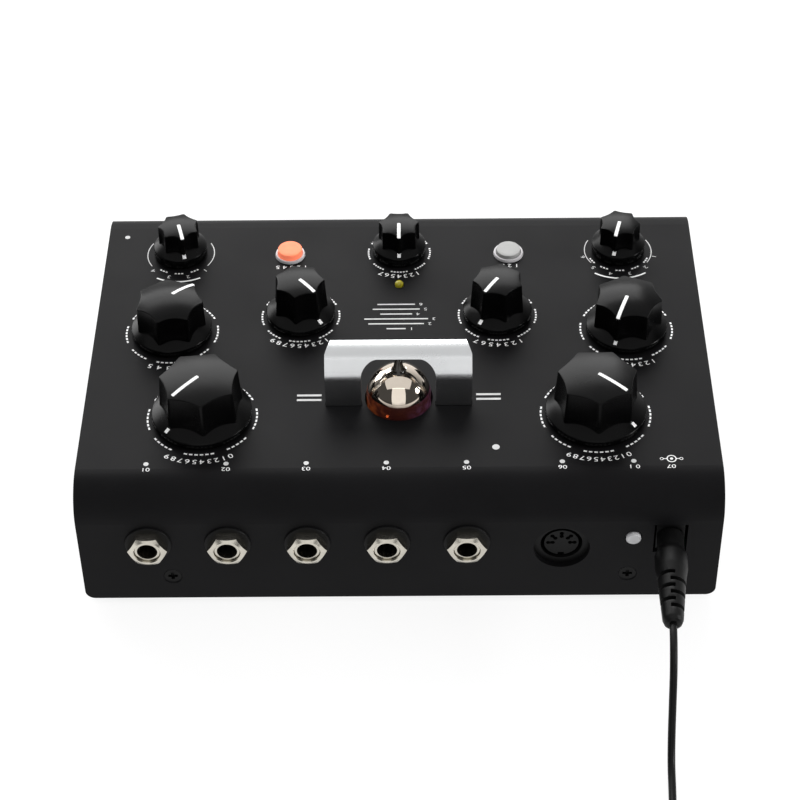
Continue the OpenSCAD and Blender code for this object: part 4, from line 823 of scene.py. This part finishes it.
class DELAYUNIT_OT_print(DelayOperator, bpy.types.Operator):
    """Print the dials, the socket dots and plain numbers on the panel"""

    bl_idname = "delay_unit.print_marks"
    bl_label = "Panel print"

    def execute(self, context):
        z = PANEL_Z + PRINT_LIFT

        def build(bm):
            for name in KNOBS:
                self.dial(bm, name, z)
            self.socket_marks(bm, z)
            self.legend(bm, z)
            self.valve_marks(bm, z)

        mesh = mesh_from("panel_print", build)
        add_object("panel_print", mesh, "case", "case_coat", ["print", "grey_print"])
        return {"FINISHED"}

    def dial(self, bm, name, z):
        size, _, kind = KNOBS[name]
        centre, radius = knob_centre(name), KNOB_FORMS[size][7] * MM
        reach, half, figures = DIAL_FIGURES[name]
        if kind == "pot":
            for group in range(-3, 4):
                self.dashes(bm, centre, radius, group * 300 / 7, 6 - group % 2, 5.6, 3.6, z)
            self.figures_on_arc(bm, centre, reach * MM, half, figures, 1.9 * MM, z, 0)
            return
        count = len(figures)
        for group in range(count - 1):
            self.dashes(bm, centre, radius, (group - (count - 2) / 2) * 30, 3, 6, 3.9, z)
        self.figures_on_arc(bm, centre, radius + 2.0 * MM, 15 * (count - 1), figures, 1.5 * MM, z, 1)
        # A plain arc in the place of the dial's name, and a thin one on each side
        arc_line(bm, centre, reach * MM, 90 - half, 90 + half, LINE_W, z)
        for start in (-30, 146):
            arc_line(bm, centre, radius + 0.9 * MM, start, start + 64, LINE_W / 2, z, 1)

    def dashes(self, bm, centre, radius, middle, count, step, span, z):
        """Row of dashes on a dial's ring, its middle, step and the length of a dash in degrees."""
        for i in range(count):
            angle = math.radians(90 + middle + (i - (count - 1) / 2) * step)
            dash(bm, centre, radius, angle, radius * math.radians(span), LINE_W, z)

    def figures_on_arc(self, bm, centre, radius, half, figures, height, z, material):
        for i, figure in enumerate(figures):
            degrees = 90 + half - 2 * half * i / (len(figures) - 1)
            turn = math.radians(degrees - 90)
            numeral(bm, figure, on_circle(centre, radius, degrees), height, z, turn, material)

    def socket_marks(self, bm, z):
        """Dots and figures of the sockets and buttons, the supply's polarity sign and two plain dots."""
        line_y = MIDDLE_Y + SOCKET_Y * MM
        for x, figures in SOCKETS:
            disc(bm, (x * MM, line_y), 0.85 * MM, z, 1)
            numeral(bm, figures, (x * MM, line_y + 2.4 * MM), 1.6 * MM, z)
        x, y = POLARITY_AT[0] * MM, MIDDLE_Y + POLARITY_AT[1] * MM
        disc(bm, (x, y), 0.5 * MM, z)
        arc_line(bm, (x, y), 1.425 * MM, 0, 360, 0.35 * MM, z, 0, 40)
        for painted_light_tone in (-1, 1):
            bar(bm, (x + painted_light_tone * 1.6 * MM, x + painted_light_tone * 2.5 * MM), y, 0.3 * MM, z)
            arc_line(bm, (x + painted_light_tone * 3.1 * MM, y), 0.5 * MM, 0, 360, 0.2 * MM, z)
        numeral(bm, "07", (x + 0.3 * MM, y + 3.3 * MM), 1.6 * MM, z)
        for x, y, radius in PLAIN_DOTS:
            disc(bm, (x * MM, MIDDLE_Y + y * MM), radius * MM, z, 1)
        for x, figures in BUTTONS:
            numeral(bm, figures, (x * MM, MIDDLE_Y + BUTTON_Y * MM), 1.7 * MM, z)

    def legend(self, bm, z):
        """Six numbered rows, each with a plain bar."""
        for i, half in enumerate(LEGEND_ROWS):
            y = MIDDLE_Y + (LEGEND_Y - LEGEND_STEP * i) * MM
            numeral(bm, str(i + 1), (-half * MM, y), 1.4 * MM, z, 0.0, 1)
            bar(bm, ((2.0 - half) * MM, half * MM), y, 0.56 * MM, z, 1)

    def valve_marks(self, bm, z):
        """Two short bars on each side of the guard."""
        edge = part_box("tube_guard")[1].x
        for painted_light_tone in (-1, 1):
            for shift in (-1.1, 1.1):
                ends = (painted_light_tone * (edge + 1.5 * MM), painted_light_tone * (edge + 9.5 * MM))
                bar(bm, ends, VALVE_Y + shift * MM, 0.9 * MM, z, 1)


# Knobs

class KnobForm:
    """Sizes of one knob and the surfaces that follow from them, pointer along +X and z from the panel."""

    slope = 0.55
    soft = 0.44 * MM

    def __init__(self, form, skirt_r, gap, height, ribs):
        body, top, crown, rim, hollow, start, end, _ = (value * MM for value in form)
        self.body_r, self.skirt_r, self.gap, self.height, self.ribs = body / 2, skirt_r, gap, height, ribs
        self.start, self.end = start, end
        self.rim = gap + rim
        self.draft = (body - top) / 2 / (height - crown - self.rim)
        self.dome_r = (top * top / 4 + crown * crown) / (2 * crown)
        self.step = 2 * math.pi / ribs
        reach = self.step / 2 - math.radians(1.5)
        half = self.body_r * math.sin(reach)
        self.hollow_r = (half * half + hollow * hollow) / (2 * hollow)
        self.hollow_at = self.body_r * math.cos(reach) - hollow + self.hollow_r

    def dome(self, r):
        return self.height - self.dome_r + math.sqrt(self.dome_r ** 2 - r * r)

    def outline(self, z, arc_steps=16, rib_steps=6):
        """Outline at height z: round hollows with softly rounded ribs between them."""
        lean = (z - self.rim) * self.draft
        rib_r, centre = self.body_r - lean, self.hollow_at - lean

        def hollow(off):
            across = centre * math.sin(off)
            return centre * math.cos(off) - math.sqrt(self.hollow_r ** 2 - across * across)

        corner = math.acos((rib_r ** 2 + centre ** 2 - self.hollow_r ** 2) / (2 * rib_r * centre))
        last = corner - self.soft / rib_r
        out = []
        for i in range(self.ribs):
            middle = self.step * (i + 0.5)
            for k in range(arc_steps + 1):
                off = last * (2 * k / arc_steps - 1)
                out.append((middle + off, hollow(off)))
            flank = self.step / 2 - last
            foot = Vector(polar(hollow(last), flank))
            near = Vector(polar(hollow(last - 0.01), flank + 0.01))
            apex = foot.x + (foot.x - near.x) / (near.y - foot.y) * foot.y
            for k in range(1, rib_steps):
                t = k / rib_steps
                x = (1 - t) ** 2 * foot.x + 2 * t * (1 - t) * apex + t * t * foot.x
                y = -((1 - t) ** 2 - t * t) * foot.y
                out.append((self.step * (i + 1) + math.atan2(y, x), math.hypot(x, y)))
        return out

    def body_rings(self, edge):
        """Rings from the skirt up the ribbed side, over a rounded edge and across the dome."""
        painted_light_tone = [(a, r, self.rim - 0.6 * MM) for a, r in self.outline(self.rim - 0.6 * MM)]
        foot = [(a, 0.3 * r, z) for a, r, z in painted_light_tone]
        upper = [(a, r, self.dome(r)) for a, r in self.outline(self.dome(self.body_r))]
        rings = [[(0, 0, painted_light_tone[0][2])], foot, painted_light_tone, [(a, r, z - edge) for a, r, z in upper]]
        for i in range(1, 5):
            t = math.radians(22.5 * i)
            rings.append([(a, r - edge * (1 - math.cos(t)),
                           z - edge + (self.dome(r - edge) - z + edge) * math.sin(t)) for a, r, z in upper])
        for share in (0.92, 0.8, 0.62, 0.42, 0.2):
            rings.append([(a, (r - edge) * share, self.dome((r - edge) * share)) for a, r, z in upper])
        rings.append([(0, 0, self.height)])
        return [[Vector((*polar(r, a), z)) for a, r, z in ring] for ring in rings]

    def skirt_profile(self, edge):
        recess_r, recess_z = 6.57 * MM, 5.0 * MM
        inner = self.body_r * 0.5
        tilt = 90 - math.degrees(math.atan(self.slope))
        profile = [(0, recess_z), (recess_r, recess_z), (recess_r, self.gap), (self.skirt_r - edge, self.gap)]
        profile += arc(self.skirt_r - edge, self.gap + edge, edge, -90, 0, 4)[1:]
        profile += arc(self.skirt_r - edge, self.rim - edge, edge, 0, tilt, 4)
        start = profile[-1]
        top = start[1] + (start[0] - inner) * self.slope
        return profile + [(inner, top), (0, top)]


class DELAYUNIT_OT_knobs(DelayOperator, bpy.types.Operator):
    """Build the ribbed knobs with their skirts, pointers and marks"""

    bl_idname = "delay_unit.knobs"
    bl_label = "Knobs"

    def execute(self, context):
        settings = context.scene.delay_knob
        for name, (size, angle, _) in KNOBS.items():
            self.add_knob(name, KNOB_FORMS[size], math.radians(angle), settings)
        return {"FINISHED"}

    def add_knob(self, name, sizes, turn, settings):
        node = "knob_" + name
        low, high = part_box(node)
        form = KnobForm(sizes, (high.x - low.x) / 2, low.z - PANEL_Z, high.z - PANEL_Z, settings.ribs)

        def build(bm):
            turned(bm, form.skirt_profile(settings.skirt_edge), Vector((0, 0, 0)), 96)
            rings_to_faces(bm, form.body_rings(settings.edge))
            self.pointer(bm, form, settings.pointer_width / 2)
            self.skirt_mark(bm, form, settings.skirt_edge)

        mesh = mesh_from(node, build)
        x, y = knob_centre(name)
        mesh.transform(Matrix.Translation((x, y, PANEL_Z)) @ Matrix.Rotation(turn, 4, "Z"))
        add_object(node + "_moulded", mesh, name + "_knob", "knob_black", ["knob_black", "print"], 32, node)

    def inlay(self, bm, rows, height):
        """White fill that follows a surface: rows of (x, half width), height(x, y) of its face."""
        sink, lift = 0.25 * MM, 0.03 * MM
        rings = []
        for x, half in rows:
            edge = [Vector((x, y, height(x, y))) for y in (-half, 0, half)]
            above = [p + Vector((0, 0, lift)) for p in edge]
            rings.append(above + [p - Vector((0, 0, sink)) for p in reversed(edge)])
        ends = [[sum(ring, Vector()) / len(ring)] for ring in (rings[0], rings[-1])]
        rings_to_faces(bm, ends[:1] + rings + ends[1:], 1)

    def pointer(self, bm, form, half):
        """Bar with rounded corners along the dome."""
        corner = 0.5 * half
        turns = [math.radians(t) for t in (0, 22.5, 45, 67.5, 90)]
        ends = [half - corner + corner * math.cos(t) for t in turns]
        wide = [half - corner + corner * math.sin(t) for t in turns]
        rows = [(form.start - e, w) for e, w in zip(ends, wide)]
        rows += [(form.start + (form.end - form.start) * k / 8, half) for k in range(1, 8)]
        rows += [(form.end + e, w) for e, w in zip(reversed(ends), reversed(wide))]
        self.inlay(bm, rows, lambda x, y: form.dome(math.hypot(x, y)))

    def skirt_mark(self, bm, form, edge):
        """Small mark on the sloping skirt, in line with the pointer."""
        outer = form.skirt_r - edge - 0.3 * MM
        rows = [(outer - 1.5 * MM, 0.6 * MM), (outer, 0.6 * MM)]
        base = form.skirt_profile(edge)[-3]
        self.inlay(bm, rows, lambda x, y: base[1] + (base[0] - math.hypot(x, y)) * form.slope)


# Panel buttons and their rings

class DELAYUNIT_OT_buttons(DelayOperator, bpy.types.Operator):
    """Build the panel buttons and ease the edges of their rings"""

    bl_idname = "delay_unit.buttons"
    bl_label = "Panel buttons"

    def execute(self, context):
        for name in ("bypass", "tap"):
            self.cap(name + "_button", name + "_key", name + "_cap")
        eased_copy("button_rings", "case", "button_ring", 0.2 * MM, 3)
        return {"FINISHED"}

    def cap(self, node, body, slot):
        """Cap with a softly rounded top and the flange that keeps it under its ring."""
        low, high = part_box(node)
        centre = Vector(((low.x + high.x) / 2, (low.y + high.y) / 2, 0))
        radius, flange, plunger, edge = 4.2 * MM, (high.x - low.x) / 2, 1.7 * MM, 0.35 * MM
        base, seat, top = low.z + 2.5 * MM, low.z + 3.5 * MM, high.z

        def build(bm):
            profile = [(0, low.z), (plunger, low.z), (plunger, base), (flange, base), (flange, seat),
                       (radius, seat), (radius, top - edge)]
            profile += arc(radius - edge, top - edge, edge, 0, 75, 6)[1:]
            profile += [(radius * 0.6, top - 0.02 * MM), (radius * 0.3, top), (0, top)]
            turned(bm, profile, centre, 64)

        add_object(node + "_cap", mesh_from(node, build), body, slot, angle=40, node=node)


# Valve and guard

class DELAYUNIT_OT_valve(DelayOperator, bpy.types.Operator):
    """Build the valve's mirrored dome, amber glass, tip and heater, and the guard over it"""

    bl_idname = "delay_unit.valve"
    bl_label = "Valve and guard"

    def execute(self, context):
        axis = Vector((0, VALVE_Y, 0))
        dome_z = PANEL_Z + 12.2 * MM - VALVE_R
        join_z = PANEL_Z + 4.6 * MM
        wall = 0.9 * MM
        start = math.degrees(math.asin((join_z - dome_z) / VALVE_R))

        def glass(bm):
            outer = [(VALVE_R, VALVE_LOW.z), (VALVE_R, dome_z)] + arc(0, dome_z, VALVE_R, 0, start, 6)[1:]
            inner = arc(0, dome_z, VALVE_R - wall, start, 0, 6) + [(VALVE_R - wall, VALVE_LOW.z)]
            turned(bm, outer + inner + outer[:1], axis, 96)

        def dome(bm):
            turned(bm, arc(0, dome_z, VALVE_R, start, 84, 26), axis, 96)

        def tip(bm):
            foot = dome_z + VALVE_R * math.sin(math.radians(80))
            crown, top = dome_z + VALVE_R, VALVE_HIGH.z
            profile = [(2.6 * MM, foot - 0.1 * MM), (2.1 * MM, crown), (1.75 * MM, crown + 0.8 * MM)]
            profile += [(1.3 * MM, top - 1.8 * MM)] + arc(0, top - 1.1 * MM, 1.1 * MM, 0, 90, 6)
            turned(bm, profile, axis, 48)

        add_object("valve_glass", mesh_from("valve_glass", glass), "case", "valve_glass", node="tube_glass")
        add_object("valve_mirror", mesh_from("valve_mirror", dome), "case", "valve_glass", ["mirror"], 60)
        add_object("valve_tip", mesh_from("valve_tip", tip), "case", "valve_glass", ["dark_tip"], 60)
        self.heater(axis)
        eased_copy("tube_guard", "case", "guard_metal", 0.45 * MM, 3)
        return {"FINISHED"}

    def heater(self, axis):
        """Glowing end of the heater, seen through the glass above the panel."""
        at = axis + Vector((3.6 * MM, 8.2 * MM, PANEL_Z - 0.4 * MM))
        bead = [(max(0, r), z) for r, z in arc(0, 0, 0.45 * MM, -90, 90, 8)]

        def build(bm):
            turned(bm, bead, at, 16)

        add_object("heater_glow", mesh_from("heater_glow", build), "case", "electrode", ["heater"], 60)


# Sockets

class DELAYUNIT_OT_sockets(DelayOperator, bpy.types.Operator):
    """Build the jacks' nuts and ease the edges of their washers"""

    bl_idname = "delay_unit.sockets"
    bl_label = "Rear sockets"

    def execute(self, context):
        self.nuts()
        eased_copy("jack_washers", "case", "black_plastic", 0.2 * MM)
        return {"FINISHED"}

    def nuts(self, count=5, steps=96):
        """Hex nuts with a coned outer face, closed by a rim over the end of each jack."""
        low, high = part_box("jack_nuts")
        flat, tall = (high.z - low.z) / 2, high.y - low.y
        corner = flat / math.cos(math.pi / 6)
        thread, rim, face, lip = 4.55 * MM, 4.2 * MM, 4.8 * MM, 0.15 * MM
        cone = 0.9 * MM / (corner - face)
        rim_y = tall - 0.8 * MM

        def hexagon(turn):
            return flat / math.cos((turn % (math.pi / 3)) - math.pi / 6)

        def build(bm):
            for i in range(count):
                x = low.x + corner + i * (high.x - low.x - 2 * corner) / (count - 1)
                at = Vector((x, low.y, (low.z + high.z) / 2))
                lines = []
                for k in range(steps):
                    t = 2 * math.pi * k / steps
                    h = hexagon(t)
                    profile = [(thread, 0), (h, 0), (h, tall - (h - face) * cone), (face, tall),
                               (rim + lip, tall), (rim, tall - lip), (rim, rim_y), (thread, rim_y),
                               (thread, 0)]
                    lines.append([at + Vector((r * math.cos(t), y, r * math.sin(t))) for r, y in profile])
                rings_to_faces(bm, list(zip(*lines)))

        mesh = mesh_from("jack_nuts", build)
        add_object("jack_nuts_turned", mesh, "case", "nickel", angle=20, node="jack_nuts")


class DELAYUNIT_PT_panel(bpy.types.Panel):
    """Sizes, colours and steps of the delay unit"""

    bl_idname = "DELAYUNIT_PT_panel"
    bl_label = "Delay unit"
    bl_space_type = "VIEW_3D"
    bl_region_type = "UI"
    bl_category = "Delay unit"

    def draw(self, context):
        for title, settings in (("Finishes", context.scene.delay_finish), ("Knobs", context.scene.delay_knob),
                                ("Studio", context.scene.delay_stage)):
            box = self.layout.box()
            box.label(text=title)
            for key in settings.__annotations__:
                box.prop(settings, key)
        for operator in OPERATORS:
            self.layout.operator(operator.bl_idname)


SETTINGS = (
    ("delay_finish", DelayFinishSettings),
    ("delay_knob", DelayKnobSettings),
    ("delay_stage", DelayStageSettings),
)
OPERATORS = (
    DELAYUNIT_OT_finishes,
    DELAYUNIT_OT_stage,
    DELAYUNIT_OT_lead,
    DELAYUNIT_OT_print,
    DELAYUNIT_OT_knobs,
    DELAYUNIT_OT_buttons,
    DELAYUNIT_OT_valve,
    DELAYUNIT_OT_sockets,
)


def register():
    for name, group in SETTINGS:
        bpy.utils.register_class(group)
        setattr(bpy.types.Scene, name, PointerProperty(type=group))
    for operator in OPERATORS:
        bpy.utils.register_class(operator)
    bpy.utils.register_class(DELAYUNIT_PT_panel)


def unregister():
    bpy.utils.unregister_class(DELAYUNIT_PT_panel)
    for operator in reversed(OPERATORS):
        bpy.utils.unregister_class(operator)
    for name, group in reversed(SETTINGS):
        delattr(bpy.types.Scene, name)
        bpy.utils.unregister_class(group)


def main():
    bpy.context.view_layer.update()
    register()
    for operator in OPERATORS:
        getattr(bpy.ops.delay_unit, operator.bl_idname.split(".")[1])()


if __name__ == "__main__":
    main()
